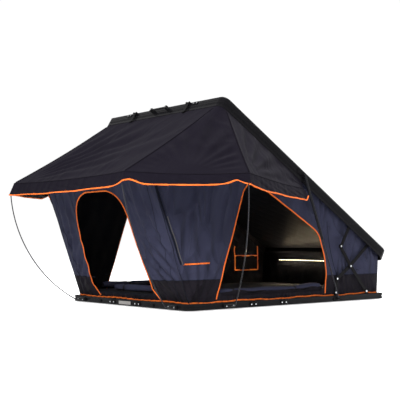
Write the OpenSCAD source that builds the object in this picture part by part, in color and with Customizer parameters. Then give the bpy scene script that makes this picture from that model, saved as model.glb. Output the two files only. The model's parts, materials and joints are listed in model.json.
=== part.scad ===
// Hard-shell wedge roof top tent, shown opened. All sizes are in millimetres.
// Origin: centre of the underside. +Z is up, +X points to the hinged foot end, -X to the open front.
// The left side is -Y. The shell is drawn flat, foot end at +X, and then lifted to its open place.

/* [Overall] */
// Length of the base and of the shell
tent_len = 2150; // [1950:10:2350]
// Width of the base and of the shell
tent_w = 1450; // [1300:10:1600]
// Width of every rail in plan, also the radius of the corners
rail_w = 60; // [54:1:72]
// Height of the base rails
base_h = 42; // [38:1:52]
// Height of the shell at its rails
shell_h = 88; // [82:1:110]
// Depth of the lip that hangs from the outer edge of the shell rails
lip_h = 44; // [42:1:50]
// Thickness of that lip
lip_t = 6; // [5:0.5:8]
// Wall of the hollow rails
rail_wall = 3; // [2:0.5:4]
// Height of the rubber seal between base and shell
seal_h = 3.5; // [2:0.5:6]

/* [Opening] */
// Tilt of the open shell
open_deg = 31.3; // [28:0.1:33]
// How far the foot end of the shell rises when it opens
foot_rise = 268; // [258:1:276]
// How far the foot end of the shell moves to the front when it opens
foot_shift = 9; // [4:1:14]

/* [Floor] */
// Thickness of the floor board
floor_t = 12; // [9:1:18]
// Width of the two mounting rails under the floor
mount_rail_w = 40; // [34:1:60]
// Height of the mounting rails, to the underside of the floor
mount_rail_h = 19; // [16:1:24]
// Height of the base rails above the ground plane
base_lift = 8; // [5:1:12]
// Distance between the mounting rails
mount_rail_gap = 980; // [800:10:1100]
// Distance between the slots along a mounting rail
slot_gap = 1200; // [900:10:1400]
// Length of a mounting slot
slot_len = 300; // [120:10:400]
// Width of a mounting slot, for an M8 bolt
slot_w = 9; // [8.5:0.5:11]
// Thickness of the mattress at its edge
mattress_t = 66; // [40:1:72]
// Extra height of the mattress in the middle
mattress_crown = 7; // [2:1:9]
// How far the mattress sides draw in between the corners
mattress_draw = 9; // [2:1:14]

/* [Scissor hinge] */
// Thickness of the hinge arms
arm_t = 4; // [3:0.5:4.5]
// Half width of the hinge arms
arm_r = 15; // [12:0.5:15.5]
// Distance between the four layers of arms
arm_pitch = 9; // [8.5:0.5:9.5]
// Radius of the hinge pins
pin_r = 5; // [4:0.5:6]
// Running clearance of a pin in its arm
pin_clear = 0.05; // [0.02:0.01:0.1]
// Height of the folded pivots above the base rails
pivot_lift = 26; // [25:0.5:28]
// Distance of the long arm's base pivot from the foot end
long_pivot_s = 232; // [222:1:242]
// Distance of the cross arm's shell pivot from the foot end
cross_pivot_s = 221; // [212:1:230]
// Distance of the crossing pivot from the foot end, folded
crossing_s = 513; // [500:1:526]
// How far the crossing pivot lies below the others, folded
crossing_drop = 8; // [4:0.5:8]
// Distance of the long arm's far end from the foot end, folded
long_end_s = 718; // [700:1:740]
// Distance of the cross arm's far end from the foot end, folded
cross_end_s = 697; // [680:1:715]

/* [Gas struts] */
// Distance of the strut's shell stud from the foot end
strut_top_s = 1194; // [1120:1:1250]
// Height of the strut's shell stud above the shell lip
strut_top_n = 50; // [46:1:56]
// Distance of the strut's base stud from the foot end
strut_foot_s = 616; // [580:1:660]
// Height of the strut's base stud above the bottom of the base rail
strut_foot_h = 24; // [20:1:26]
// Radius of the strut tube
strut_tube_r = 11; // [9.5:0.5:12]
// Radius of the strut rod
strut_rod_r = 5; // [4:0.5:6]
// Length of the strut tube
strut_tube_len = 526; // [510:1:532]

/* [Front hoop] */
// How far the front hoop leans out for each unit of height
hoop_lean = 0.372; // [0.3:0.01:0.42]
// Height of the top of the front wall
hoop_top_z = 938; // [860:1:980]
// Radius of the hoop tube
hoop_r = 9.5; // [7:0.5:11]
// Bend radius of the hoop corners
hoop_bend_r = 80; // [50:1:120]

/* [Cloth] */
// Thickness of the cloth walls and of the fly
cloth_t = 3; // [2:0.5:4]
// Height of the door sills above the base rails
sill_h = 44; // [30:1:60]
// Distance of the side door's foot behind the front of the base
door_inset = 296; // [260:1:340]
// How far the side door's front edge leans back for each unit of height
door_slope = 0.377; // [0.3:0.01:0.42]
// Distance of the side door's back edge from the foot end
door_back_s = 707; // [660:1:760]
// Distance of the side door's top edge below the shell's lip
door_drop = 208; // [180:1:240]
// Half width of the front door at its widest
front_door_w = 345; // [280:1:420]
// Distance of the front door's top below the top of the front wall
front_door_drop = 116; // [80:1:180]
// Radius of the rolled door flaps
roll_r = 30; // [20:1:34]
// How far the fly's front fold line lies in front of the base
fly_front = 527; // [440:1:600]
// How far the fly's side corners lie outside the base
fly_side = 481; // [400:1:540]
// Distance of the fly's side corners behind the front of the base
fly_side_x = 103; // [60:1:160]
// How far the fly's fold line lies below the top of the front wall
fly_drop = 6; // [0:1:40]
// Depth of the hem that hangs from the fold line
hem_drop = 80; // [50:1:100]
// How far the hem flares outwards
hem_flare = 34; // [10:1:50]
// Distance of the back end of the fly from the foot end
fly_back_s = 1180; // [1110:1:1300]
// Sag of the fly between the shell and its fold line
fly_sag = 14; // [0:1:30]

/* [Awning poles] */
// Radius of the spring steel poles
pole_r = 4; // [3:0.5:5]
// Length of the straight foot of a pole outside its socket
pole_foot = 34; // [26:1:60]
// Bend radius above the foot of a pole
pole_bend_r = 30; // [20:1:50]
// Slope of the left front pole just above that bend
front_left_slope = 50; // [30:1:54]
// Slope of the right front pole just above that bend, which is bowed more
front_right_slope = 28; // [24:1:54]
// Slope of the side poles just above that bend
side_pole_slope = 54; // [36:1:57]
// Distance between the two front poles at their sockets
front_pole_gap = 1140; // [800:10:1140]
// Distance of the side poles behind the front of the base
side_pole_x = 370; // [300:5:460]

/* [Rail fittings] */
// Thickness of the bracket plates
plate_t = 4; // [3:0.5:5]
// Radius of the bolt heads
bolt_r = 5; // [4:0.5:6]
// Height of the bolt heads
bolt_h = 3; // [2:0.5:4]
// Distance between the two brackets of a ladder
ladder_gap = 314; // [260:2:360]
// Distance of the side ladder's middle behind the front of the base
side_ladder_x = 770; // [700:10:900]
// Distance between the latches
latch_gap = 660; // [500:10:800]
// Length of a latch lever
latch_len = 90; // [82:1:92]
// Distance between the feet of the grab handle
handle_gap = 180; // [140:5:220]

/* [Hidden] */

$fn = 48;
black_coat = "#1b1b1d";
steel = "#b9bcc0";
navy = "#333d4f";
charcoal = "#232326";
foam_grey = "#5a5a5c";

// Gaps: between pieces that only face each other, between seated pieces, and of a loose fit
gap = 0.5;
seat = 0.3;
eps = 0.01;

half_len = tent_len / 2;
half_w = tent_w / 2;
base_top = base_lift + base_h;
// Height of the shell's lip when the shell is closed
closed_z = base_top + seal_h + gap;
// Place of the bottom corner of the shell's foot end when the shell is open
open_foot = [half_len - foot_shift, closed_z + foot_rise];

function rot2(v, a) = [v[0] * cos(a) - v[1] * sin(a), v[0] * sin(a) + v[1] * cos(a)];
function angle_of(v) = atan2(v[1], v[0]);
function wrap(a) = a > 180 ? a - 360 : a < -180 ? a + 360 : a;
function mix(a, b, t) = a + (b - a) * t;
function unit(v) = v / norm(v);

// A place on the shell, s from its foot end and n above its lip, as [x, z]: open and closed
function on_shell(s, n) = open_foot + rot2([-s, n], -open_deg);
function when_closed(s, n) = [half_len - s, closed_z + n];

// Scissor hinge. Its pivots are set out folded flat, and the open places follow from the arm lengths.
pivot_z = base_top + pivot_lift;
pivot_n = pivot_z - closed_z;
long_pivot = [half_len - long_pivot_s, pivot_z];
cross_pivot_closed = when_closed(cross_pivot_s, pivot_n);
cross_pivot = on_shell(cross_pivot_s, pivot_n);
crossing_closed = [half_len - crossing_s, pivot_z - crossing_drop];
long_half = norm(crossing_closed - long_pivot);
cross_half = norm(crossing_closed - cross_pivot_closed);
pivot_span = norm(cross_pivot - long_pivot);
pivot_dir = (cross_pivot - long_pivot) / pivot_span;
crossing_along = (long_half ^ 2 - cross_half ^ 2 + pivot_span ^ 2) / (2 * pivot_span);
crossing_out = sqrt(long_half ^ 2 - crossing_along ^ 2);
crossing = long_pivot + crossing_along * pivot_dir + crossing_out * [-pivot_dir[1], pivot_dir[0]];
// Turns from closed to open, anticlockwise from +X to +Z
long_turn = wrap(angle_of(crossing - long_pivot) - angle_of(crossing_closed - long_pivot));
cross_turn = wrap(angle_of(crossing - cross_pivot) - angle_of(crossing_closed - cross_pivot_closed));
long_end_closed = [half_len - long_end_s, pivot_z];
long_end = long_pivot + rot2(long_end_closed - long_pivot, long_turn);
cross_end_closed = [half_len - cross_end_s, pivot_z];
cross_end = cross_pivot + rot2(cross_end_closed - cross_pivot_closed, cross_turn);
// The upper link's shell pivot lies as far from the long arm's end when open as when closed
function into_shell(p) = rot2(p - open_foot, open_deg);
function same_reach(a, b, n) =
    let (m = (a + b) / 2, d = b - a) m[0] - (n - m[1]) * d[1] / d[0];
upper_x = same_reach([-long_end_s, pivot_n], into_shell(long_end), pivot_n);
upper_pivot = on_shell(-upper_x, pivot_n);
lower_pivot = [same_reach(cross_end_closed, cross_end, pivot_z), pivot_z];
upper_closed = [half_len + upper_x, pivot_z];
upper_turn = wrap(angle_of(long_end - upper_pivot) - angle_of(long_end_closed - upper_closed));
lower_turn = wrap(angle_of(cross_end - lower_pivot) - angle_of(cross_end_closed - lower_pivot));

// Gas strut, from its base stud to its shell stud
strut_foot = [half_len - strut_foot_s, base_lift + strut_foot_h];
strut_top = on_shell(strut_top_s, strut_top_n);
strut_top_closed = when_closed(strut_top_s, strut_top_n);
strut_len = norm(strut_top - strut_foot);
strut_len_closed = norm(strut_top_closed - strut_foot);
strut_deg = angle_of(strut_top - strut_foot);
strut_turn = wrap(strut_deg - angle_of(strut_top_closed - strut_foot));

echo(long_pivot = long_pivot, crossing = crossing, cross_pivot = cross_pivot);
echo(upper_pivot = upper_pivot, lower_pivot = lower_pivot, long_end = long_end, cross_end = cross_end);
echo(long_turn = long_turn, cross_turn = cross_turn, upper_turn = upper_turn, lower_turn = lower_turn);
echo(strut_foot = strut_foot, strut_top = strut_top, strut_len = strut_len, strut_closed = strut_len_closed);
echo(strut_deg = strut_deg, strut_turn = strut_turn, open_foot = open_foot, closed_z = closed_z);

// Layers of the hinge arms, counted inwards from the shell's lip: upper link, long arm, cross arm, lower link
lip_gap = 3;
function layer_y(k) = half_w - lip_t - lip_gap - arm_t - k * arm_pitch;
UPPER = 0;
LONG = 1;
CROSS = 2;
LOWER = 3;
bracket_t = 4;
lower_bracket_y = layer_y(LOWER) - gap - bracket_t;
// Outer face of the side walls, just inside the innermost hinge bracket
wall_y = lower_bracket_y - 1.5;

module on_sides(side) mirror([0, side < 0 ? 1 : 0, 0]) children();
module both_sides() for (side = [-1, 1]) on_sides(side) children();
// Lifts what is drawn flat, with the lip at z = 0, to the open shell
module lifted() translate([open_foot[0], 0, open_foot[1]]) rotate([0, open_deg, 0])
    translate([-half_len, 0, 0]) children();
// A flat outline in X and Z, given a thickness along +Y from y
module upright(y, t) translate([0, y + t, 0]) rotate([90, 0, 0]) linear_extrude(t) children();
// A round bar along +Y at p = [x, z]
module cross_bar(p, r, y0, y1) translate([p[0], y0, p[1]]) rotate([-90, 0, 0]) cylinder(r = r, h = y1 - y0);

// Rails. A rail's outline has u outwards and v up, with u = 0 at the rail's inner face.
RIGHT = 0;
FRONT = 90;
LEFT = 180;
REAR = -90;
function reach(turn) = abs(turn) == 90 ? half_len : half_w;
function run(turn) = 2 * ((abs(turn) == 90 ? half_w : half_len) - rail_w);
module along(turn, z, cut = 0) rotate([0, 0, turn]) translate([0, reach(turn) - rail_w, z])
    rotate([90, 0, 90]) linear_extrude(run(turn) - 2 * cut, center = true) children();
// The ledges of the front and rear rails end short of those of the side rails
function ledge_cut(turn) = abs(turn) == 90 ? ledge_w + gap : 0;
module ledge(turn, z) along(turn, z, ledge_cut(turn))
    translate([-ledge_w, 0]) square([ledge_w + eps, ledge_t]);
module round_corners(z) for (sx = [-1, 1], sy = [-1, 1])
    translate([sx * (half_len - rail_w), sy * (half_w - rail_w), z])
        rotate([0, 0, sx > 0 ? (sy > 0 ? 0 : -90) : (sy > 0 ? 90 : 180)])
            rotate_extrude(angle = 90) children();

groove_h = 12;
groove_d = 4;
ledge_w = 16;
ledge_t = 3;
module base_outline(hollow = true) difference() {
    square([rail_w, base_h]);
    translate([rail_w - groove_d, (base_h - groove_h) / 2]) square([groove_d + 1, groove_h]);
    if (hollow) translate([rail_wall, rail_wall])
        square([rail_w - 2 * rail_wall - groove_d, base_h - 2 * rail_wall]);
}
module base_rail(turn) color(black_coat) {
    along(turn, base_lift) base_outline();
    ledge(turn, mount_rail_h - ledge_t);
}
module base_front_rail() base_rail(FRONT);
module base_rear_rail() base_rail(REAR);
module base_left_rail() base_rail(LEFT);
module base_right_rail() base_rail(RIGHT);
module base_corners() color(black_coat) round_corners(base_lift) base_outline(hollow = false);

// Shell rails: a hollow box with the lip under its outer edge, fine ribs and a groove on the outside
top_bevel = 10;
rib_d = 1.6;
rib_pitch = 7;
shell_ledge_n = shell_h - 11;
module box_outline(hollow = true) difference() {
    translate([0, lip_h]) polygon([
        [0, 0], [rail_w, 0], [rail_w, shell_h - lip_h - top_bevel],
        [rail_w - top_bevel, shell_h - lip_h], [0, shell_h - lip_h]]);
    translate([rail_w - rib_d, lip_h + 4]) square([rib_d + 1, 5]);
    if (hollow) translate([rail_wall, lip_h + rail_wall])
        square([rail_w - 2 * rail_wall - top_bevel, shell_h - lip_h - 2 * rail_wall]);
}
module lip_outline(extra = 0) difference() {
    translate([rail_w - lip_t, 0]) square([lip_t, lip_h + extra]);
    for (k = [0:2]) translate([rail_w - rib_d, lip_h / 2 - 3 + k * rib_pitch])
        square([rib_d + 1, rib_pitch / 2]);
}
module shell_outline(hollow = true) {
    box_outline(hollow);
    lip_outline(eps);
}
module shell_rail(turn) {
    along(turn, 0) shell_outline();
    ledge(turn, shell_ledge_n);
}
pin_blind = 3;
lip_in_y = half_w - lip_t;
module shell_side_rail(turn) color(black_coat) lifted() {
    along(turn, 0) box_outline();
    ledge(turn, shell_ledge_n);
}
// The lips of the side rails are profiles of their own, so that the folded hinge can be fitted behind them
module shell_side_lips() color(black_coat) lifted() both_sides() difference() {
    along(RIGHT, 0) lip_outline();
    cross_bar([half_len + upper_x, pivot_n], pin_r, lip_in_y - 1, lip_in_y + pin_blind);
}
module shell_front_rail() color(black_coat) lifted() shell_rail(FRONT);
module shell_rear_rail() color(black_coat) lifted() shell_rail(REAR);
module shell_left_rail() shell_side_rail(LEFT);
module shell_right_rail() shell_side_rail(RIGHT);
module shell_corners() color(black_coat) lifted() round_corners(0) shell_outline(hollow = false);

board_x = half_len - rail_w - gap;
board_y = half_w - rail_w - gap;
module slab(x, y, z, t) translate([-x, -y, z]) cube([2 * x, 2 * y, t]);
module floor_panel() color("#3a3a3c") slab(board_x, board_y, mount_rail_h, floor_t);
roof_t = 4;
roof_n = shell_ledge_n + ledge_t;
module roof_panel() color(black_coat) lifted() slab(board_x, board_y, roof_n, roof_t);
liner_t = 11;
module ceiling_liner() color(charcoal) lifted()
    slab(board_x - ledge_w - 1, board_y - ledge_w - 1, roof_n - liner_t - seat, liner_t);

mount_wall = 4;
mount_half = half_len - rail_w - ledge_w - 1;
module slot(x) {
    straight = slot_len - slot_w;
    translate([x, 0, -1]) {
        translate([-straight / 2, -slot_w / 2, 0]) cube([straight, slot_w, mount_wall + 2]);
        for (e = [-1, 1]) translate([e * straight / 2, 0, 0]) cylinder(d = slot_w, h = mount_wall + 2);
    }
}
module mount_rails() color(steel) both_sides() translate([0, mount_rail_gap / 2, 0]) difference() {
    translate([-mount_half, -mount_rail_w / 2, 0]) cube([2 * mount_half, mount_rail_w, mount_rail_h]);
    translate([-mount_half - 1, -mount_rail_w / 2 + mount_wall, mount_wall])
        cube([2 * mount_half + 2, mount_rail_w - 2 * mount_wall, mount_rail_h - 2 * mount_wall]);
    for (e = [-1, 1]) slot(e * slot_gap / 2);
}

module base_seal() color("#111111") {
    for (turn = [RIGHT, LEFT, FRONT, REAR])
        along(turn, base_top) translate([rail_w - lip_t, 0]) square([lip_t, seal_h]);
    round_corners(base_top) translate([rail_w - lip_t, 0]) square([lip_t, seal_h]);
}

// A closed sheet between two grids of points with the same rows and columns
function grid_tris(rows, cols, first, flip) = [
    for (i = [0:rows - 2], j = [0:cols - 2])
        let (a = first + i * cols + j, b = a + 1, c = a + cols, d = c + 1)
        each (flip ? [[a, c, b], [b, c, d]] : [[a, b, c], [b, d, c]])];
function rim_tris(ring, offset) = [
    for (k = [0:len(ring) - 1])
        let (a = ring[k], b = ring[(k + 1) % len(ring)])
        each [[a, a + offset, b], [b, a + offset, b + offset]]];
function rim(rows, cols) = concat(
    [for (j = [0:cols - 1]) j],
    [for (i = [1:rows - 1]) i * cols + cols - 1],
    [for (j = [cols - 2:-1:0]) (rows - 1) * cols + j],
    [for (i = [rows - 2:-1:1]) i * cols]);
module closed_sheet(front, back) {
    rows = len(front);
    cols = len(front[0]);
    polyhedron(
        points = concat([for (r = front) each r], [for (r = back) each r]),
        faces = concat(grid_tris(rows, cols, 0, false), grid_tris(rows, cols, rows * cols, true),
            rim_tris(rim(rows, cols), rows * cols)));
}

// Mattress: crowned on top, its sides drawn in between the corners, flat underneath
mattress_end_gap = 40;
mattress_side_gap = 28;
mattress_x = half_len - rail_w - mattress_end_gap;
mattress_y = half_w - rail_w - mattress_side_gap;
mattress_z = mount_rail_h + floor_t + seat;
mattress_nx = 16;
mattress_ny = 10;
function mattress_point(a, b, z, swell) = [
    a * (mattress_x - mattress_draw * (1 - b * b)),
    b * (mattress_y - mattress_draw * (1 - a * a)),
    z + swell * (1 - a ^ 6) * (1 - b ^ 6)];
function mattress_grid(z, swell) = [
    for (j = [0:mattress_ny]) let (b = 2 * j / mattress_ny - 1) [
        for (i = [0:mattress_nx]) mattress_point(2 * i / mattress_nx - 1, b, z, swell)]];
module mattress() color(foam_grey)
    closed_sheet(mattress_grid(mattress_z, 0), mattress_grid(mattress_z + mattress_t, mattress_crown));

// Hinge arms and links: a bar of even width through its pivots
module bar(points, r) for (k = [0:len(points) - 2]) hull() {
    translate(points[k]) circle(r, $fn = 40);
    translate(points[k + 1]) circle(r, $fn = 40);
}
module arm(layer, points, loose, tight) difference() {
    upright(layer_y(layer), arm_t) bar(points, arm_r);
    for (p = loose) cross_bar(p, pin_r + pin_clear, layer_y(layer) - 1, layer_y(layer) + arm_t + 1);
    for (p = tight) cross_bar(p, pin_r, layer_y(layer) - 1, layer_y(layer) + arm_t + 1);
}
module long_arm(side) color(black_coat) on_sides(side)
    arm(LONG, [long_pivot, crossing, long_end], [long_pivot], [crossing]);
module cross_arm(side) color(black_coat) on_sides(side)
    arm(CROSS, [cross_pivot, crossing, cross_end], [cross_pivot, crossing], [cross_end]);
module long_arm_left() long_arm(-1);
module long_arm_right() long_arm(1);
module cross_arm_left() cross_arm(-1);
module cross_arm_right() cross_arm(1);
module upper_links() color(black_coat) both_sides()
    arm(UPPER, [upper_pivot, long_end], [upper_pivot], [long_end]);
module lower_links() color(black_coat) both_sides() arm(LOWER, [lower_pivot, cross_end], [lower_pivot], []);

// Pins: a shaft with a head at each end, across y0 to y1 between the heads
head_r = 8;
module pin(p, y0, y1, low_head, high_head) {
    cross_bar(p, pin_r, y0, y1);
    if (low_head > 0) cross_bar(p, head_r, y0 - low_head, y0);
    if (high_head > 0) cross_bar(p, head_r, y1, y1 + high_head);
}
head_gap = 0.4;
long_bracket_y = layer_y(LONG) + arm_t + gap;
cross_bracket_y = layer_y(CROSS) - gap - bracket_t;
module hinge_base_pins() color(steel) both_sides() {
    pin(long_pivot, layer_y(LONG) - head_gap, long_bracket_y + bracket_t, 2.2, 2.5);
    pin(lower_pivot, lower_bracket_y, layer_y(LOWER) + arm_t + head_gap, 1, 2.5);
}
// The pin at the crossing has a collar between its two arms
module long_arm_pins() color(steel) both_sides() {
    pin(crossing, layer_y(CROSS) - head_gap, layer_y(LONG) + arm_t, 2, 2.4);
    cross_bar(crossing, head_r, layer_y(CROSS) + arm_t + head_gap, layer_y(LONG));
}
// The pins at the free ends stop short of the arm that they point at
module upper_link_pins() color(steel) both_sides()
    pin(long_end, layer_y(LONG) + arm_t + gap, layer_y(UPPER) + arm_t, 0, 2);
module cross_arm_pins() color(steel) both_sides()
    pin(cross_end, layer_y(LOWER) + arm_t + gap, layer_y(CROSS) + arm_t, 0, 2);
module hinge_shell_pins() color(steel) both_sides() {
    pin(cross_pivot, cross_bracket_y, layer_y(CROSS) + arm_t + head_gap, 1.5, 1.2);
    pin(upper_pivot, layer_y(UPPER) - head_gap, lip_in_y + pin_blind, 1.4, 0);
}

// Base brackets of the hinge: an upright ear on a foot that lies on the base rail
foot_t = 3;
foot_w = 9;
module ear(p, z_foot) {
    translate(p) circle(arm_r);
    translate([p[0] - arm_r, min(p[1], z_foot)]) square([2 * arm_r, abs(p[1] - z_foot)]);
}
module base_bracket(p, y, foot_y) difference() {
    union() {
        upright(y, bracket_t) ear(p, base_top);
        translate([p[0] - 2 * arm_r, foot_y, base_top]) cube([4 * arm_r, foot_w, foot_t]);
    }
    cross_bar(p, pin_r, y - 1, y + bracket_t + 1);
}
module hinge_base_brackets() color(black_coat) both_sides() {
    base_bracket(long_pivot, long_bracket_y, long_bracket_y);
    base_bracket(lower_pivot, lower_bracket_y, lower_bracket_y);
}
// Shell brackets of the hinge: an ear under the shell rail, and a boss on the lip for the upper link
boss_r = 10;
module hinge_shell_brackets() color(black_coat) lifted() both_sides() {
    ear_at = [half_len - cross_pivot_s, pivot_n];
    boss_at = [half_len + upper_x, pivot_n];
    difference() {
        union() {
            upright(cross_bracket_y, bracket_t) ear(ear_at, lip_h);
            translate([ear_at[0] - 2 * arm_r, cross_bracket_y + bracket_t - foot_w, lip_h - foot_t])
                cube([4 * arm_r, foot_w, foot_t]);
        }
        cross_bar(ear_at, pin_r, cross_bracket_y - 1, cross_bracket_y + bracket_t + 1);
    }
    difference() {
        cross_bar(boss_at, boss_r, layer_y(UPPER) + arm_t + seat, lip_in_y);
        cross_bar(boss_at, pin_r, layer_y(UPPER), lip_in_y + 1);
    }
}

// Gas struts, outside the rails
strut_gap = 6;
strut_y = half_w + strut_gap + strut_tube_r;
eye_r = 9;
eye_w = 2 * strut_rod_r + 3;
eye_y = strut_y - eye_w / 2;
stud_r = 4.5;
strut_plate_len = 92;
strut_plate_h = 30;
module bracket_plate(p, tall, wide) upright(half_w, plate_t)
    translate(p - [wide, tall] / 2) square([wide, tall]);
module strut_base_brackets() color(black_coat) both_sides() {
    bracket_plate([strut_foot[0], base_lift + base_h / 2], strut_plate_h, strut_plate_len);
    cross_bar(strut_foot, stud_r, half_w + plate_t, eye_y + eye_w + head_gap);
    cross_bar(strut_foot, stud_r + 3, eye_y + eye_w + head_gap, eye_y + eye_w + head_gap + 2);
}
// The shell stud ends behind the strut's top eye
module strut_shell_brackets() color(black_coat) lifted() both_sides() {
    stud_at = [half_len - strut_top_s, strut_top_n];
    bracket_plate(stud_at - [strut_plate_len / 2 - 2 * eye_r, 0], strut_plate_h, strut_plate_len);
    cross_bar(stud_at, stud_r + 1, half_w + plate_t, eye_y - seat);
}
// Draws along +X from the strut's base stud, then turns it to the open strut
module on_strut() both_sides() translate([strut_foot[0], strut_y, strut_foot[1]])
    rotate([0, -strut_deg, 0]) children();
module along_x(x0, x1, r) translate([x0, 0, 0]) rotate([0, 90, 0]) cylinder(r = r, h = x1 - x0);
module eye_ring(x, hole_r) translate([x, eye_w / 2, 0]) rotate([90, 0, 0]) difference() {
    cylinder(r = eye_r, h = eye_w);
    if (hole_r > 0) translate([0, 0, -1]) cylinder(r = hole_r, h = eye_w + 2);
}
tube_bore_r = strut_tube_r - 2.5;
gland_len = 24;
piston_len = 12;
piston_gap = 2;
tube_start = strut_len - strut_tube_len;
// The rod's piston stands just above the gland when the strut is fully out
strut_rod_len = tube_start + gland_len + piston_len + piston_gap;
module strut_rods() color(steel) on_strut() difference() {
    union() {
        eye_ring(0, 0);
        along_x(0, strut_rod_len, strut_rod_r);
        along_x(strut_rod_len - piston_len, strut_rod_len, tube_bore_r - 0.1);
    }
    translate([0, eye_w, 0]) rotate([90, 0, 0]) cylinder(r = stud_r + pin_clear, h = 2 * eye_w);
}
module strut_tubes() color("#2b2c2f") on_strut() difference() {
    union() {
        along_x(tube_start, strut_len - eye_r - 6, strut_tube_r);
        along_x(strut_len - eye_r - 8, strut_len, 5);
        eye_ring(strut_len, 0);
    }
    along_x(tube_start + gland_len, strut_len - eye_r - 20, tube_bore_r);
    along_x(tube_start - 1, tube_start + gland_len + 1, strut_rod_r + pin_clear);
}

// Front hoop, in its own leaning plane, with its feet in sockets on the floor
hoop_back = 22;
hoop_deg = atan(hoop_lean);
front_edge_x = -half_len + rail_w + 12;
function front_wall_x(z) = front_edge_x - hoop_lean * z;
hoop_socket_w = 2 * hoop_r + 14;
hoop_y = half_w - rail_w - hoop_socket_w / 2 - 1;
hoop_foot_z = mount_rail_h + floor_t + 8;
hoop_len = (hoop_top_z - 20 - hoop_foot_z) / cos(hoop_deg);
module in_hoop_plane() translate([front_wall_x(hoop_foot_z) + hoop_back, 0, hoop_foot_z])
    rotate([0, -hoop_deg, 0]) children();
module front_hoop() color(steel) in_hoop_plane() {
    both_sides() {
        translate([0, hoop_y, 0]) cylinder(r = hoop_r, h = hoop_len - hoop_bend_r);
        translate([0, hoop_y - hoop_bend_r, hoop_len - hoop_bend_r]) rotate([90, 0, 90])
            rotate_extrude(angle = 90) translate([hoop_bend_r, 0]) circle(hoop_r);
    }
    cross_bar([0, hoop_len], hoop_r, -(hoop_y - hoop_bend_r), hoop_y - hoop_bend_r);
}
hoop_socket_h = 40;
module hoop_sockets() color(black_coat) both_sides() difference() {
    translate([front_wall_x(hoop_foot_z) + hoop_back - hoop_socket_w / 2, hoop_y - hoop_socket_w / 2,
        mount_rail_h + floor_t]) cube([hoop_socket_w, hoop_socket_w, hoop_socket_h]);
    in_hoop_plane() translate([0, hoop_y, -seat]) cylinder(r = hoop_r + seat, h = 2 * hoop_socket_h);
}

// Cloth walls. The side wall runs from the base rail to the shell, and out to the hoop in front.
wall_z = base_top + seat;
wall_n = lip_h - seat;
rear_s = 50;
hood_s = tent_len - rail_w - 12;
rear_bottom = [half_len - rail_w + 10, wall_z];
rear_top = on_shell(rear_s, wall_n);
hood_top = on_shell(hood_s, wall_n);
hoop_corner = [front_wall_x(hoop_top_z), hoop_top_z];
front_bottom = [front_wall_x(wall_z), wall_z];
side_wall_outline = [front_bottom, rear_bottom, rear_top, hood_top, hoop_corner];
door_z = base_top + sill_h;
// The side door slopes back in front, and its top edge falls with the shell
function door_front_x(z) = -half_len + door_inset + door_slope * (z - door_z);
door_back_x = half_len - door_back_s;
door_heel = 128;
door_top_len = 584;
door_top_fall = 34;
door_peak = 72;
door_belly = 37;
door_top_back = on_shell(door_back_s + door_heel, -door_drop);
door_top_front = on_shell(door_back_s + door_heel + door_top_len, -door_drop - door_top_fall);
door_top_z = door_top_front[1] + door_peak;
door_round = 24;
side_door_outline = [
    [door_front_x(door_z) + 2 * door_round, door_z], [door_back_x - door_round, door_z],
    [door_back_x + door_round, door_z + 1.6 * door_belly],
    [door_back_x + door_belly, door_z + 3.5 * door_belly],
    [door_back_x + 0.4 * door_belly, mix(door_z, door_top_back[1], 0.56)],
    door_top_back + 2 * door_round * [1.25, -1.04], door_top_back, door_top_front,
    door_top_front + door_peak * [-1.53, 0.86], [door_front_x(door_top_z) + 3 * door_round, door_top_z],
    [door_front_x(door_top_z) + door_round, door_top_z - door_round / 4],
    [door_front_x(door_top_z - door_round), door_top_z - door_round],
    [door_front_x(door_z + 2 * door_round), door_z + 2 * door_round]];
module side_wall(side) color(navy) on_sides(side) upright(wall_y - cloth_t, cloth_t) difference() {
    polygon(side_wall_outline);
    polygon(side_door_outline);
}
module wall_left() side_wall(-1);
module wall_right() side_wall(1);
// A cloth panel between the side walls, from a to b in [x, z], with its outline in [y, distance from a]
panel_y = wall_y - cloth_t - seat;
module panel_between(a, b, t = cloth_t) translate([a[0], 0, a[1]]) rotate([0, 90 - angle_of(b - a), 0])
    rotate([90, 0, 90]) linear_extrude(t) children();
front_span = norm(hoop_corner - front_bottom);
front_door_top = front_span - front_door_drop;
front_door_round = 60;
front_door_half = [
    [front_door_w - front_door_round, sill_h],
    [front_door_w - 0.25 * front_door_round, sill_h + 0.5 * front_door_round],
    [front_door_w, sill_h + 2 * front_door_round],
    [front_door_w - 0.5 * front_door_round, front_door_top - 3 * front_door_round],
    [front_door_w - front_door_round, front_door_top - 1.2 * front_door_round],
    [front_door_w - 2.1 * front_door_round, front_door_top]];
front_door_outline = concat(front_door_half,
    [for (k = [len(front_door_half) - 1:-1:0]) [-front_door_half[k][0], front_door_half[k][1]]]);
module wall_front() color(navy) panel_between(front_bottom, hoop_corner) difference() {
    translate([-panel_y, seat]) square([2 * panel_y, front_span - 2 * seat]);
    polygon(front_door_outline);
}
module full_panel(a, b) color(navy) panel_between(a, b)
    translate([-panel_y, seat]) square([2 * panel_y, norm(b - a) - 2 * seat]);
module wall_hood() full_panel(hoop_corner + [cloth_t, 0], hood_top);
module wall_rear() full_panel(rear_bottom - [cloth_t, 0], rear_top - [cloth_t, 0]);

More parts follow.
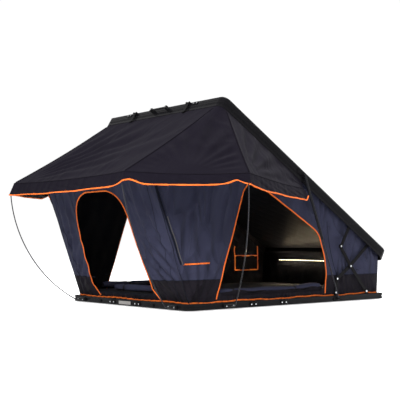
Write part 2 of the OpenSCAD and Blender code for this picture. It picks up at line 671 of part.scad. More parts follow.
// Rolled door flaps, tied in two places, lying on the mattress inside each side door
roll_from = door_front_x(door_z) + 50;
roll_len = door_back_x - 50 - roll_from;
roll_x = roll_from + roll_len / 2;
roll_z = mattress_z + mattress_t + mattress_crown + roll_r + seat;
roll_y = panel_y - roll_r - 4;
tie_at = 0.22;
module roll_half() rotate_extrude() polygon([
    [0, 0], [roll_r * 0.86, 0], [roll_r, 0.05 * roll_len], [roll_r, (tie_at - 0.05) * roll_len],
    [roll_r * 0.8, tie_at * roll_len], [roll_r, (tie_at + 0.05) * roll_len], [roll_r, 0.5 * roll_len],
    [0, 0.5 * roll_len]]);
module door_rolls() color(navy) both_sides() translate([roll_x, roll_y, roll_z]) {
    translate([-roll_len / 2, 0, 0]) rotate([0, 90, 0]) roll_half();
    translate([roll_len / 2, 0, 0]) rotate([0, -90, 0]) roll_half();
}
led_len = 900;
led_h = 14;
led_t = 5;
led_drop = 82;
led_z = norm(rear_top - rear_bottom) - led_drop;
led_back = [cloth_t + seat + led_t, 0];
module led_strip() color("#f6e7c2") panel_between(rear_bottom - led_back, rear_top - led_back, led_t)
    translate([-led_len / 2, led_z]) square([led_len, led_h]);

// Fly: stations run round the shell's edge from the left back end to the right back end. Each has a point
// under the shell's lip, one on the fold line and one on the hem.
fly_n = -seat - 0.1;
fly_in = lip_t / 2;
side_steps = 9;
corner_steps = 6;
front_steps = 14;
function shell_point(x, y, n) = let (p = on_shell(half_len - x, n)) [p[0], y, p[1]];
fly_corner_r = rail_w - fly_in;
fly_side_from = half_len - fly_back_s;
fly_side_to = -(half_len - rail_w);
function fly_top_side(t) = shell_point(mix(fly_side_from, fly_side_to, t), half_w - fly_in, fly_n);
function fly_top_corner(t) = shell_point(
    -(half_len - rail_w) - fly_corner_r * sin(90 * t), half_w - rail_w + fly_corner_r * cos(90 * t), fly_n);
function fly_top_front(t) =
    shell_point(-(half_len - fly_in), mix(half_w - rail_w, rail_w - half_w, t), fly_n);
fly_z = hoop_top_z - fly_drop;
fold_front = [-half_len - fly_front, half_w - 3, fly_z];
fold_side = [-half_len + fly_side_x, half_w + fly_side, fly_z + 3];
fold_back = let (p = fly_top_side(0)) [p[0], half_w + 22, p[2] - 40];
function flip_y(p) = [p[0], -p[1], p[2]];
// Half of the stations, from the right back end to the middle of the front
fly_half = concat(
    [for (k = [0:side_steps - 1]) let (t = k / side_steps) [fly_top_side(t), mix(fold_back, fold_side, t)]],
    [for (k = [0:corner_steps - 1]) let (t = k / corner_steps)
        [fly_top_corner(t), mix(fold_side, fold_front, t)]],
    [for (k = [0:front_steps / 2]) let (t = k / front_steps)
        [fly_top_front(t), mix(fold_front, flip_y(fold_front), t)]]);
fly_stations = concat(
    [for (s = fly_half) s],
    [for (k = [len(fly_half) - 2:-1:0]) [flip_y(fly_half[k][0]), flip_y(fly_half[k][1])]]);
function outward(s) = unit([s[1][0] + 0.3 * half_len, s[1][1], 0]);
fly_rows = [0, 0.3, 0.65, 1];
function fly_points(s) = concat(
    [for (v = fly_rows) mix(s[0], s[1], v) - [0, 0, fly_sag * sin(180 * v)]],
    [s[1] + outward(s) * hem_flare - [0, 0, hem_drop]]);
function fly_inside(s) =
    let (p = fly_points(s), o = outward(s) * cloth_t)
    [for (k = [0:len(p) - 1])
        p[k] - (k < 3 ? [0, 0, cloth_t] : k == 3 ? o + [0, 0, cloth_t] : o)];
module fly() color(charcoal)
    closed_sheet([for (s = fly_stations) fly_points(s)], [for (s = fly_stations) fly_inside(s)]);

// Awning poles. Each lies in a plane through the axis of its socket: a straight foot, a short bend and a
// long arc that ends under a corner of the fly's hem.
socket_out = 18;
socket_h = 26;
socket_w = 84;
socket_z = base_lift + base_h / 2;
hem_front = fold_front + outward([0, fold_front]) * hem_flare - [0, 0, hem_drop];
hem_side = fold_side + outward([0, fold_side]) * hem_flare - [0, 0, hem_drop];
tip_drop = pole_r + 4;
front_pole_foot = [-half_len, front_pole_gap / 2, socket_z];
side_pole_foot = [-half_len + side_pole_x, half_w, socket_z];
// The tip in the pole's plane: a out along the socket, b up
function front_tip() = let (d = hem_front - [0, 8, tip_drop] - front_pole_foot)
    [-d[0] - 8, norm([d[1], d[2]]), atan2(d[1], d[2])];
function side_tip() = let (d = hem_side - [0, 0, tip_drop] - side_pole_foot)
    [d[1] - 8, norm([d[0], d[2]]), atan2(-d[0], d[2])];
module arc(r, turn) rotate_extrude(angle = turn, $fn = 96) translate([r, 0]) circle(pole_r, $fn = 24);
pole_in = 12;
// A crimped sleeve covers each place where the pole's curve changes
sleeve_r = pole_r + 0.8;
sleeve_len = 8;
module sleeve(at, deg) translate([at[0], 0, at[1]]) rotate([0, 90 - deg, 0])
    translate([0, 0, -sleeve_len / 2]) cylinder(r = sleeve_r, h = sleeve_len, $fn = 24);
module pole_curve(tip, slope) {
    bend_from = [socket_out + pole_foot, 0];
    arc_from = bend_from + pole_bend_r * [sin(slope), 1 - cos(slope)];
    chord = [tip[0], tip[1]] - arc_from;
    turn = 2 * (angle_of(chord) - slope);
    arc_r = norm(chord) / (2 * sin(turn / 2));
    arc_middle = arc_from + arc_r * [-sin(slope), cos(slope)];
    rotate([0, 90, 0]) translate([0, 0, socket_out - pole_in])
        cylinder(r = pole_r, h = pole_in + pole_foot, $fn = 24);
    sleeve(bend_from, 0);
    sleeve(arc_from, slope);
    rotate([90, 0, 0]) {
        translate([bend_from[0], pole_bend_r]) rotate([0, 0, -90]) arc(pole_bend_r, slope);
        translate(arc_middle) rotate([0, 0, slope - 90]) arc(arc_r, turn);
    }
}
// Turns a pole, drawn in X and Z with its socket along +X, to its place
module front_pole(side) color(steel) on_sides(side) translate(front_pole_foot) rotate([0, 0, 180])
    rotate([front_tip()[2], 0, 0]) pole_curve(front_tip(), side < 0 ? front_left_slope : front_right_slope);
module side_pole(side) color(steel) on_sides(side) translate(side_pole_foot) rotate([0, 0, 90])
    rotate([-side_tip()[2], 0, 0]) pole_curve(side_tip(), side_pole_slope);
module pole_front_left() front_pole(-1);
module pole_front_right() front_pole(1);
module pole_side_left() side_pole(-1);
module pole_side_right() side_pole(1);
module socket() difference() {
    translate([-socket_w / 2, 0, -socket_h / 2]) cube([socket_w, socket_out, socket_h]);
    cross_bar([0, 0], pole_r + pin_clear, socket_out - pole_in - seat, socket_out + 1);
    for (e = [-1, 1]) cross_bar([e * bolt_at(socket_w), 0], shank_r + seat, -1, socket_out + 1);
}
// Places around the rails, drawn with +Y outwards from the rail's face
module at_front(y, z) translate([-half_len, y, z]) rotate([0, 0, 90]) children();
module at_side(side, x, z) on_sides(side) translate([x, half_w, z]) children();
module at_each_socket() {
    for (side = [-1, 1]) {
        at_front(side * front_pole_gap / 2, socket_z) children();
        at_side(side, -half_len + side_pole_x, socket_z) children();
    }
}
module pole_sockets() color(black_coat) at_each_socket() socket();

// Ladder brackets: an upright plate with a step on top
ladder_w = 64;
ladder_h = 30;
ladder_step = 22;
shank_r = 3;
function bolt_at(w) = w / 2 - 2 * bolt_r;
module ladder_bracket() difference() {
    union() {
        translate([-ladder_w / 2, 0, -ladder_h / 2]) cube([ladder_w, plate_t, ladder_h]);
        translate([-ladder_w / 2, 0, ladder_h / 2 - plate_t]) cube([ladder_w, ladder_step, plate_t]);
    }
    for (e = [-1, 1]) cross_bar([e * bolt_at(ladder_w), 0], shank_r + seat, -1, plate_t + 1);
}
module at_each_ladder_bracket() {
    for (e = [-1, 1]) {
        at_front(e * ladder_gap / 2, socket_z) children();
        for (side = [-1, 1])
            at_side(side, -half_len + side_ladder_x + e * ladder_gap / 2, socket_z) children();
    }
}
module ladder_brackets() color(black_coat) at_each_ladder_bracket() ladder_bracket();
module bolt(t) {
    cross_bar([0, 0], shank_r, 0, t);
    cross_bar([0, 0], bolt_r, t, t + bolt_h);
}
module bolt_pair(w, t) for (e = [-1, 1]) translate([e * bolt_at(w), 0, 0]) bolt(t);
module rail_bolts() color(steel) {
    at_each_socket() bolt_pair(socket_w, socket_out);
    at_each_ladder_bracket() bolt_pair(ladder_w, plate_t);
}
front_plate_size = [148, 1.5, 24];
module front_plate() color(steel) at_front(0, socket_z)
    translate([-front_plate_size[0] / 2, 0, -front_plate_size[2] / 2]) cube(front_plate_size);

// Latches. The lever hangs on a pin between two ears on the shell's front face.
latch_w = 30;
ear_t = 4;
latch_pin_r = 3;
latch_out = 12;
latch_n = shell_h - top_bevel - 8;
latch_plate_t = 3;
latch_plate_h = 26;
latch_ear_h = 14;
latch_wide = latch_w + 2 * ear_t + 2 * gap;
lever_t = 5;
lever_hook_h = 10;
module on_front(y) lifted() translate([-half_len, y, 0]) rotate([0, 0, 90]) children();
module latch_mount() {
    translate([-latch_wide / 2, 0, latch_n + latch_ear_h / 2 + 1 - latch_plate_h])
        cube([latch_wide, latch_plate_t, latch_plate_h]);
    for (e = [-1, 1]) translate([e * (latch_wide - ear_t) / 2, 0, latch_n]) difference() {
        translate([-ear_t / 2, latch_plate_t - eps, -latch_ear_h / 2])
            cube([ear_t, latch_out + 4, latch_ear_h]);
        translate([-ear_t, latch_out, 0]) rotate([0, 90, 0])
            cylinder(r = latch_pin_r + pin_clear, h = 2 * ear_t);
    }
}
module latch_mounts() color(black_coat) for (e = [-1, 1]) on_front(e * latch_gap / 2) latch_mount();
module latch_lever(side) color(black_coat) on_front(side * latch_gap / 2) translate([0, latch_out, latch_n]) {
    translate([-latch_w / 2, 0, 0]) rotate([0, 90, 0]) cylinder(r = 2 * latch_pin_r, h = latch_w);
    translate([-latch_wide / 2 - 1, 0, 0]) rotate([0, 90, 0]) cylinder(r = latch_pin_r, h = latch_wide + 2);
    translate([-latch_w / 2, -lever_t / 2, -latch_len]) cube([latch_w, lever_t, latch_len]);
    translate([-latch_w / 2, -lever_t / 2, -latch_len]) cube([latch_w, 2 * lever_t, lever_hook_h]);
}
module latch_lever_left() latch_lever(-1);
module latch_lever_right() latch_lever(1);
keeper_size = [44, 5, 22];
module latch_keepers() color(steel) for (e = [-1, 1]) at_front(e * latch_gap / 2, socket_z)
    translate([-keeper_size[0] / 2, 0, -keeper_size[2] / 2]) cube(keeper_size);

// Grab handle: a bar on two feet, with room for the fingers behind it
handle_n = lip_h + 12;
handle_foot = 22;
handle_out = 34;
handle_r = 7;
handle_bar_out = handle_out - handle_r - 2;
module grab_handle() color("#141415") on_front(0) difference() {
    union() {
        for (e = [-1, 1]) translate([e * handle_gap / 2 - handle_foot / 2, 0, handle_n - handle_foot / 2])
            cube([handle_foot, handle_out, handle_foot]);
        translate([-handle_gap / 2, handle_bar_out, handle_n]) rotate([0, 90, 0])
            cylinder(r = handle_r, h = handle_gap);
    }
    for (e = [-1, 1]) cross_bar([e * handle_gap / 2, handle_n], shank_r + seat, -1, handle_out + 1);
}
// Cleats: small plates with two bolts beside the latches
cleat_gap = latch_gap + 160;
cleat_w = 56;
cleat_h = 26;
cleat_n = lip_h + 18;
module front_cleats() color(black_coat) for (e = [-1, 1])
    on_front(e * cleat_gap / 2) translate([0, 0, cleat_n]) difference() {
        translate([-cleat_w / 2, 0, -cleat_h / 2]) cube([cleat_w, plate_t, cleat_h]);
        for (k = [-1, 1]) cross_bar([k * bolt_at(cleat_w), 0], shank_r + seat, -1, plate_t + 1);
    }
module shell_bolts() color(steel) {
    for (e = [-1, 1]) {
        on_front(e * cleat_gap / 2) translate([0, 0, cleat_n]) bolt_pair(cleat_w, plate_t);
        on_front(e * handle_gap / 2) translate([0, 0, handle_n]) bolt(handle_out);
    }
}

base_front_rail();
base_rear_rail();
base_left_rail();
base_right_rail();
base_corners();
floor_panel();
mount_rails();
mattress();
hinge_base_brackets();
hinge_base_pins();
strut_base_brackets();
pole_sockets();
ladder_brackets();
rail_bolts();
latch_keepers();
front_plate();
base_seal();
hoop_sockets();
front_hoop();
wall_left();
wall_right();
wall_front();
wall_hood();
wall_rear();
door_rolls();
led_strip();
shell_front_rail();
shell_rear_rail();
shell_left_rail();
shell_right_rail();
shell_side_lips();
shell_corners();
roof_panel();
ceiling_liner();
hinge_shell_brackets();
hinge_shell_pins();
strut_shell_brackets();
latch_mounts();
grab_handle();
shell_bolts();
front_cleats();
fly();
long_arm_left();
long_arm_right();
long_arm_pins();
cross_arm_left();
cross_arm_right();
cross_arm_pins();
upper_links();
upper_link_pins();
lower_links();
strut_rods();
strut_tubes();
pole_front_left();
pole_front_right();
pole_side_left();
pole_side_right();
latch_lever_left();
latch_lever_right();
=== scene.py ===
"""Roof top tent: soft pieces, finishes and stage, built on the part's CAD frame. Sizes are in metres."""
import json
import math

import bpy
import numpy as np
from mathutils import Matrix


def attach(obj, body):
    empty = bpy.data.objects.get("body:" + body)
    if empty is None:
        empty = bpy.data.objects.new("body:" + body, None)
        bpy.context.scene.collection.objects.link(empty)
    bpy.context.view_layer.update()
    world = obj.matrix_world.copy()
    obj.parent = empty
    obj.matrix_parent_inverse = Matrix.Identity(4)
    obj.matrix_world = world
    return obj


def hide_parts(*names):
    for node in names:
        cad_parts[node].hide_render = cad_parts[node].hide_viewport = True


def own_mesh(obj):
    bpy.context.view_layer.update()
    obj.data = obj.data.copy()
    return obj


bl_info = {
    "name": "Roof top tent",
    "version": (1, 0, 0),
    "blender": (4, 5, 0),
    "location": "View3D > Sidebar > Tent",
    "description": "Builds the cloth, padding, finishes and stage of a roof top tent",
    "category": "Object",
}

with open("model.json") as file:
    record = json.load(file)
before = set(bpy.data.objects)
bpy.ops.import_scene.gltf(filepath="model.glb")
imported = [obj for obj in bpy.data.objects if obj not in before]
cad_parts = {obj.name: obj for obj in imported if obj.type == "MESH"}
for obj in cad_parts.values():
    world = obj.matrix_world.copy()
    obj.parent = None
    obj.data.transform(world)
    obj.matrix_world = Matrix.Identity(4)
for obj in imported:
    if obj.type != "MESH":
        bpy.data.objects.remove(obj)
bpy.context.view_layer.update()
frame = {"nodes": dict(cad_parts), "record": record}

# Sizes that follow the CAD part
TILT = math.radians(31.3)
SHELL_FOOT = (1.066, 0.322)
HALF_LEN = 1.075
HALF_W = 0.725
RAIL_W = 0.060
WALL_Y = 0.679
PANEL_Y = 0.6757
WALL_Z = 0.0503
BAND_Z = 0.213
FLY_SIDE_Y = 0.722
FLY_BACK_X = HALF_LEN - 1.180
FLY_N = -0.0004
HEM_DROP = 0.088
HEM_FLARE = 0.042
FOLD_FRONT = np.array([-1.602, 0.722, 0.924])
FOLD_SIDE = np.array([-0.960, 1.208, 0.917])
HOOP_R = 0.0095
GUSSET_X = -1.0
SIDES = (("left", -1.0), ("right", 1.0))

# Half thicknesses of raised binding, flat binding and seam tape
RAISED = 0.0028
FLAT = 0.0014
SEWN = 0.0012

GORES = 3
GORE_COLS = 20
STRIPS = 8
STRIP_COLS = 12
HEM_ROWS = 14
LAMP_PITCH = 0.030
QUILT = 0.14

UP = np.array([0.0, 0.0, 1.0])
MIRROR_FIRST = np.array([-1.0, 1.0])
MIRROR_Y = np.array([1.0, -1.0, 1.0])


def joined(*parts):
    """Points from their coordinates, which may be single numbers, lines or grids."""
    return np.stack(np.broadcast_arrays(*parts), axis=-1)


def in_space(spot, y):
    """Points from places in the upright plane of x and z, and from y."""
    return joined(spot[..., 0], y, spot[..., 1])


def shares(count):
    """Even steps from 0 to 1."""
    return np.linspace(0.0, 1.0, count)


def on_shell(s, n):
    """A place on the open shell as (x, z): s from its foot end and n above its lip."""
    s = np.asarray(s, float)
    x = SHELL_FOOT[0] - s * math.cos(TILT) + n * math.sin(TILT)
    z = SHELL_FOOT[1] + s * math.sin(TILT) + n * math.cos(TILT)
    return joined(x, z)


FRONT_BOTTOM = np.array([-1.0217, WALL_Z])
REAR_BOTTOM = np.array([1.025, WALL_Z])
HOOP_TOP = np.array([-1.352, 0.938])
REAR_TOP = on_shell(0.050, 0.0437)
HOOD_TOP = on_shell(2.078, 0.0437)


def lerp(a, b, t):
    """The point at share t of the way from a to b."""
    return a + (b - a) * t


def unit(v):
    """Vectors of length one along v."""
    return v / np.maximum(np.linalg.norm(v, axis=-1, keepdims=True), 1e-12)


def steps_of(path):
    """Lengths of the steps along a path."""
    return np.linalg.norm(np.diff(path, axis=0), axis=-1)


def summed(steps):
    """Distance from the start at each point, from the lengths of the steps between the points."""
    return np.concatenate([[0.0], np.cumsum(steps)])


def ease(a, b, x):
    """0 before a, 1 after b and a smooth step between them."""
    t = np.clip((x - a) / (b - a), 0.0, 1.0)
    return t * t * (3.0 - 2.0 * t)


def hump(x, middle, width):
    """A bell of height one around middle."""
    return np.exp(-((x - middle) / width) ** 2)


def waves(u, v, seed, short, long, count=8):
    """Mean of sine waves with seeded directions, lengths between short and long and seeded phases."""
    rng = np.random.default_rng(seed)
    turn = rng.uniform(0.0, math.pi, count)
    number = 2.0 * math.pi / rng.uniform(short, long, count)
    phase = rng.uniform(0.0, 2.0 * math.pi, count)
    along = np.cos(turn) * u[..., None] + np.sin(turn) * v[..., None]
    return np.sin(along * number + phase).sum(axis=-1) / math.sqrt(count)


def creases(u, v, seed, short, long):
    """Narrow ridges between 0 and 1: one minus the rounded size of slow sine waves that wander."""
    wander = 0.03 * waves(u, v, seed + 50, 0.2, 0.6)
    ridge = np.hypot(waves(u + wander, v - wander, seed, short, long, 5), 0.2) - 0.2
    return np.clip(1.0 - 1.6 * ridge, 0.0, 1.0) ** 1.5


def grid_normals(points, ring=False, flip=False):
    """Normals of a grid: across times down, turned over for flip. The columns of a ring go round."""
    down = np.gradient(points, axis=0)
    if ring:
        across = np.roll(points, -1, axis=1) - np.roll(points, 1, axis=1)
    else:
        across = np.gradient(points, axis=1)
    normals = unit(np.cross(across, down))
    return -normals if flip else normals


def grid_quads(rows, cols, ring):
    """Corner numbers of the cells of a grid, and its outer edges as loops in the cells' direction."""
    index = np.arange(rows * cols).reshape(rows, cols)
    wide = np.concatenate([index, index[:, :1]], axis=1) if ring else index
    quads = joined(wide[:-1, :-1], wide[:-1, 1:], wide[1:, 1:], wide[1:, :-1]).reshape(-1, 4)
    if ring:
        loops = [index[0], index[-1, ::-1]]
    else:
        loops = [np.concatenate([index[0], index[1:, -1], index[-1, -2::-1], index[-2:0:-1, 0]])]
    return quads, loops


class Pile:
    """Collects surfaces into one mesh, with a material number per face, UV in metres and set normals."""

    def __init__(self):
        self.points = []
        self.normals = []
        self.uvs = []
        self.quads = []
        self.slots = []
        self.count = 0

    def add(self, points, normals, uvs, quads, slots):
        """Adds points with their normals and UV, and quads with their material numbers."""
        self.points.append(points.reshape(-1, 3))
        self.normals.append(normals.reshape(-1, 3))
        self.uvs.append(uvs.reshape(-1, 2))
        self.quads.append(quads + self.count)
        self.slots.append(np.broadcast_to(slots, len(quads)))
        self.count += len(self.points[-1])

    def cloth(self, points, uvs, outer, inner, thick, normals=None, ring=False, flip=False):
        """A sheet with two faces and a rim. points are its outer face, the inner one lies behind it."""
        if normals is None:
            normals = grid_normals(points, ring, flip)
        rows, cols = points.shape[:2]
        quads, loops = grid_quads(rows, cols, ring)
        size = rows * cols
        rim = np.concatenate([joined(np.roll(k, -1), k, k + size, np.roll(k, -1) + size) for k in loops])
        faces = np.concatenate([quads, quads[:, ::-1] + size, rim])
        slots = np.repeat([outer, inner, outer], [len(quads), len(quads), len(rim)])
        if flip:
            faces = faces[:, ::-1]
        both = np.concatenate([points.reshape(-1, 3), (points - thick * normals).reshape(-1, 3)])
        facing = np.concatenate([normals.reshape(-1, 3), -normals.reshape(-1, 3)])
        self.add(both, facing, np.concatenate([uvs.reshape(-1, 2)] * 2), faces, slots)

    def tape(self, path, facing, half_wide, half_thick, slot, sides=8):
        """A bar of oval section along path with closed ends: half_thick along facing, one direction or one
        for each point, and half_wide across it."""
        along = unit(np.gradient(path, axis=0))
        facing = unit(facing - (facing * along).sum(-1, keepdims=True) * along)
        across = np.cross(along, facing)
        turn = np.arange(sides) * 2.0 * math.pi / sides
        up = np.cos(turn)[None, :, None]
        out = np.sin(turn)[None, :, None]
        points = path[:, None] + half_thick * up * facing[:, None] + half_wide * out * across[:, None]
        normals = unit(up / half_thick * facing[:, None] + out / half_wide * across[:, None])
        quads, _ = grid_quads(len(path), sides, True)
        k = np.arange(sides // 2 - 1)
        cap = joined(k, k + 1, sides - 2 - k, sides - 1 - k)
        faces = np.concatenate([quads, cap[:, ::-1], cap + (len(path) - 1) * sides])
        uvs = joined(summed(steps_of(path))[:, None], turn[None, :] * half_wide)
        self.add(points, normals, uvs, faces, slot)

    def solid(self, points, uvs, slot, ring=False, flip=False):
        """A single skin over a grid of points."""
        quads, _ = grid_quads(*points.shape[:2], ring)
        normals = grid_normals(points, ring, flip)
        self.add(points, normals, uvs, quads[:, ::-1] if flip else quads, slot)

    def build(self, name, materials, body, stands_for=None):
        """Makes the object with its materials, puts it under its body and hides the CAD node that it stands
        for.
        """
        points = np.concatenate(self.points)
        quads = np.concatenate(self.quads)
        mesh = bpy.data.meshes.new(name)
        mesh.from_pydata(points.tolist(), [], quads.tolist())
        for material in materials:
            mesh.materials.append(material)
        mesh.polygons.foreach_set("material_index", np.concatenate(self.slots).astype(np.int32))
        mesh.polygons.foreach_set("use_smooth", np.ones(len(quads), bool))
        layer = mesh.uv_layers.new(name="UVMap")
        layer.data.foreach_set("uv", np.concatenate(self.uvs)[quads.ravel()].astype(np.float32).ravel())
        mesh.normals_split_custom_set_from_vertices(np.concatenate(self.normals).tolist())
        mesh.update()
        obj = bpy.data.objects.new(name, mesh)
        bpy.context.scene.collection.objects.link(obj)
        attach(obj, body)
        if stands_for:
            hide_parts(stands_for)
        return obj


def soft_outline(corners, step=0.006, blur=0.022):
    """A closed outline through the corners in even steps, rounded by a bell of width blur."""
    closed = np.concatenate([corners, corners[:1]])
    run = summed(steps_of(closed))
    at = np.arange(0.0, run[-1], step)
    line = joined(*[np.interp(at, run, closed[:, k]) for k in (0, 1)])
    rate = np.fft.fftfreq(len(line), step)
    bell = np.exp(-2.0 * (math.pi * rate * blur) ** 2)
    return np.fft.ifft(np.fft.fft(line, axis=0) * bell[:, None], axis=0).real


def even_outline(corners, step=0.006):
    """A closed outline in even steps that keeps its corners sharp."""
    ends = np.roll(corners, -1, axis=0)
    counts = np.maximum(np.ceil(np.linalg.norm(ends - corners, axis=-1) / step).astype(int), 1)
    return np.concatenate([lerp(a, b, np.arange(n)[:, None] / n) for a, b, n in zip(corners, ends, counts)])


def around(middle, inner, outer, corners, count, rows):
    """A ring of points between two outlines, in rows from inner to outer, by the angle at middle."""
    def polar(line):
        """Angles and distances of a line's points from middle, in the order of the angles."""
        turn = np.arctan2(line[:, 1] - middle[1], line[:, 0] - middle[0])
        reach = np.hypot(line[:, 0] - middle[0], line[:, 1] - middle[1])
        order = np.argsort(turn)
        return turn[order], reach[order]
    even = np.linspace(-math.pi, math.pi, count, endpoint=False)
    turns = np.sort(np.concatenate([even, polar(corners)[0]]))
    near = np.interp(turns, *polar(inner), period=2.0 * math.pi)
    far = np.interp(turns, *polar(outer), period=2.0 * math.pi)
    reach = near + (far - near) * shares(rows)[:, None]
    return joined(middle[0] + reach * np.cos(turns), middle[1] + reach * np.sin(turns))


def door_edge(ring, sill, first, last, count):
    """A ring's door edge above the sill in one unbroken run, led on at both ends by count straight steps.
    The end on the positive side leads to first, the other to last."""
    low = ring[0, :, 1] < sill
    start = int(np.flatnonzero(low & ~np.roll(low, -1))[0]) + 1
    order = (np.arange(ring.shape[1]) + start) % ring.shape[1]
    edge = ring[0, order[~low[order]]]
    if edge[0, 0] <= 0.0:
        first, last = last, first
    t = np.linspace(0.0, 1.0, count, endpoint=False)[:, None]
    lead_in = lerp(np.array(first), edge[0], t)
    lead_out = lerp(np.array(last), edge[-1], t)[::-1]
    return np.concatenate([lead_in, edge, lead_out])


# Shader helpers


def feed(tree, made, inputs):
    """Fills a node's inputs: plain values are set, sockets and the first outputs of nodes are linked."""
    for key, value in inputs.items():
        if isinstance(value, bpy.types.Node):
            value = value.outputs[0]
        if isinstance(value, bpy.types.NodeSocket):
            tree.links.new(value, made.inputs[key])
        else:
            made.inputs[key].default_value = value


def node(tree, kind, inputs=None, **settings):
    """A node to the right of the ones before it, with its settings and inputs."""
    made = tree.nodes.new(kind if kind.startswith("NodeGroup") else "ShaderNode" + kind)
    made.location = (200.0 * len(tree.nodes), 0.0)
    for key, value in settings.items():
        setattr(made, key, value)
    feed(tree, made, inputs or {})
    return made


def calc(tree, operation, *values):
    """A math node."""
    return node(tree, "Math", dict(enumerate(values)), operation=operation)


def remap(tree, value, low, high, start=0.0, end=1.0, **settings):
    """A node that maps the range from start to end to the range from low to high."""
    inputs = {"Value": value, "From Min": start, "From Max": end, "To Min": low, "To Max": high}
    return node(tree, "MapRange", inputs, **settings)


def mixed(tree, share, one, two, blend="MIX"):
    """The colour output of a mix node. Its colour sockets have the numbers 6 and 7 and its result 2."""
    made = node(tree, "Mix", {0: share, 6: one, 7: two}, data_type="RGBA", blend_type=blend)
    return made.outputs[2]


def axis_of(tree, vector, axis):
    """One coordinate of a vector."""
    return node(tree, "SeparateXYZ", {"Vector": vector}).outputs[axis]


def group_tree(name, **inputs):
    """A new shader node group that gives a colour, a roughness and a normal, and its input sockets."""
    tree = bpy.data.node_groups.new(name, "ShaderNodeTree")
    for label, value in inputs.items():
        kind = "NodeSocketColor" if label == "Colour" else "NodeSocketFloat"
        tree.interface.new_socket(label, in_out="INPUT", socket_type=kind).default_value = value
    for label, kind in (("Colour", "Color"), ("Rough", "Float"), ("Normal", "Vector")):
        tree.interface.new_socket(label, in_out="OUTPUT", socket_type="NodeSocket" + kind)
    return tree, node(tree, "NodeGroupInput").outputs


def weave_group(name):
    """Woven cloth on UV in metres: a slow stain in the colour, threads and long crumples in the normal."""
    tree, given = group_tree(name, Colour=(0.1, 0.1, 0.1, 1.0), Stain=0.2, Thread=0.2, Crumple=0.0)
    place = node(tree, "UVMap")
    blot = node(tree, "TexNoise", {"Vector": place, "Scale": 5.0, "Detail": 6.0})
    threads = {"Vector": place, "Scale": 130.0, "Distortion": 1.5, "Detail": 1.0}
    warp = node(tree, "TexWave", threads, wave_type="BANDS", bands_direction="X")
    weft = node(tree, "TexWave", threads, wave_type="BANDS", bands_direction="Y")
    crossed = calc(tree, "MULTIPLY", warp.outputs["Fac"], weft.outputs["Fac"])
    shade = remap(tree, blot, calc(tree, "SUBTRACT", 1.0, given["Stain"]), 1.0, 0.3, 0.7)
    slanted = {"Vector": place, "Rotation": (0.0, 0.0, -0.35), "Scale": (1.0, 0.36, 1.0)}
    longer = node(tree, "Mapping", slanted)
    ridged = {"Vector": longer, "Scale": 7.0, "Detail": 1.6, "Offset": 0.9, "Distortion": 0.5}
    ridges = node(tree, "TexNoise", ridged, noise_type="RIDGED_MULTIFRACTAL")
    crumpled = node(tree, "Bump", {"Distance": 0.07, "Strength": given["Crumple"], "Height": ridges})
    raised = node(tree, "Bump", {"Distance": 0.0006, "Strength": given["Thread"], "Height": crossed,
                                 "Normal": crumpled})
    tint = mixed(tree, 1.0, given["Colour"], shade, "MULTIPLY")
    rough = remap(tree, blot, 0.78, 0.95)
    node(tree, "NodeGroupOutput", {"Colour": tint, "Rough": rough, "Normal": raised})
    return tree


def coat_group(name):
    """Coated metal or plastic: a faint mottle of the colour, fine grain in the normal and uneven gloss."""
    tree, given = group_tree(name, Colour=(0.1, 0.1, 0.1, 1.0), Rough=0.4, Grain=0.1, Scale=300.0)
    place = node(tree, "TexCoord").outputs["Object"]
    slow = node(tree, "TexNoise", {"Vector": place, "Scale": 7.0, "Detail": 4.0})
    fine = node(tree, "TexNoise", {"Vector": place, "Scale": given["Scale"], "Detail": 2.0})
    shade = remap(tree, slow, 0.8, 1.2)
    raised = node(tree, "Bump", {"Distance": 0.0004, "Strength": given["Grain"], "Height": fine})
    tint = mixed(tree, 1.0, given["Colour"], shade, "MULTIPLY")
    rough = calc(tree, "MULTIPLY", given["Rough"], shade)
    node(tree, "NodeGroupOutput", {"Colour": tint, "Rough": rough, "Normal": raised})
    return tree


MADE = {}


def made_once(make):
    """Keeps what a function makes under its name, so that each material is made only at its first use."""
    def kept(name, *values, **options):
        """The material of that name."""
        if name not in MADE:
            MADE[name] = make(name, *values, **options)
        return MADE[name]
    return kept


def new_material(name):
    """An empty material with a Principled shader: the material, its node tree and the shader."""
    material = bpy.data.materials.new(name + "_finish")
    material.use_nodes = True
    tree = material.node_tree
    tree.nodes.clear()
    shader = node(tree, "BsdfPrincipled")
    node(tree, "OutputMaterial", {"Surface": shader})
    return material, tree, shader


def dress(tree, shader, group, make, inputs, plain):
    """Joins a node group, made at its first use, to a shader, and sets the shader's plain values."""
    coat = node(tree, "Group", inputs, node_tree=bpy.data.node_groups.get(group) or make(group))
    made = coat.outputs
    feed(tree, shader, {"Base Color": made["Colour"], "Roughness": made["Rough"], "Normal": made["Normal"]})
    feed(tree, shader, plain)


@made_once
def cloth_material(name, colour, stain=0.15, thread=0.25, gloss=0.1, band=None, crumple=0.0, sheen=0.0):
    """Woven cloth. With band, it has that second colour where its UV height lies below the band's edge."""
    material, tree, shader = new_material(name)
    paint = (*colour, 1.0)
    if band:
        below = calc(tree, "LESS_THAN", axis_of(tree, node(tree, "UVMap"), "Y"), BAND_Z)
        paint = mixed(tree, below, paint, (*band, 1.0))
    dress(tree, shader, "Woven cloth", weave_group,
          {"Colour": paint, "Stain": stain, "Thread": thread, "Crumple": crumple},
          {"Sheen Weight": sheen, "Specular IOR Level": gloss})
    return material


@made_once
def coat_material(name, colour, rough, metal=0.0, grain=0.1, scale=300.0, gloss=0.5):
    """Coated or bare metal, rubber or plastic."""
    material, tree, shader = new_material(name)
    dress(tree, shader, "Fine coat", coat_group,
          {"Colour": (*colour, 1.0), "Rough": rough, "Grain": grain, "Scale": scale},
          {"Metallic": metal, "Specular IOR Level": gloss})
    return material


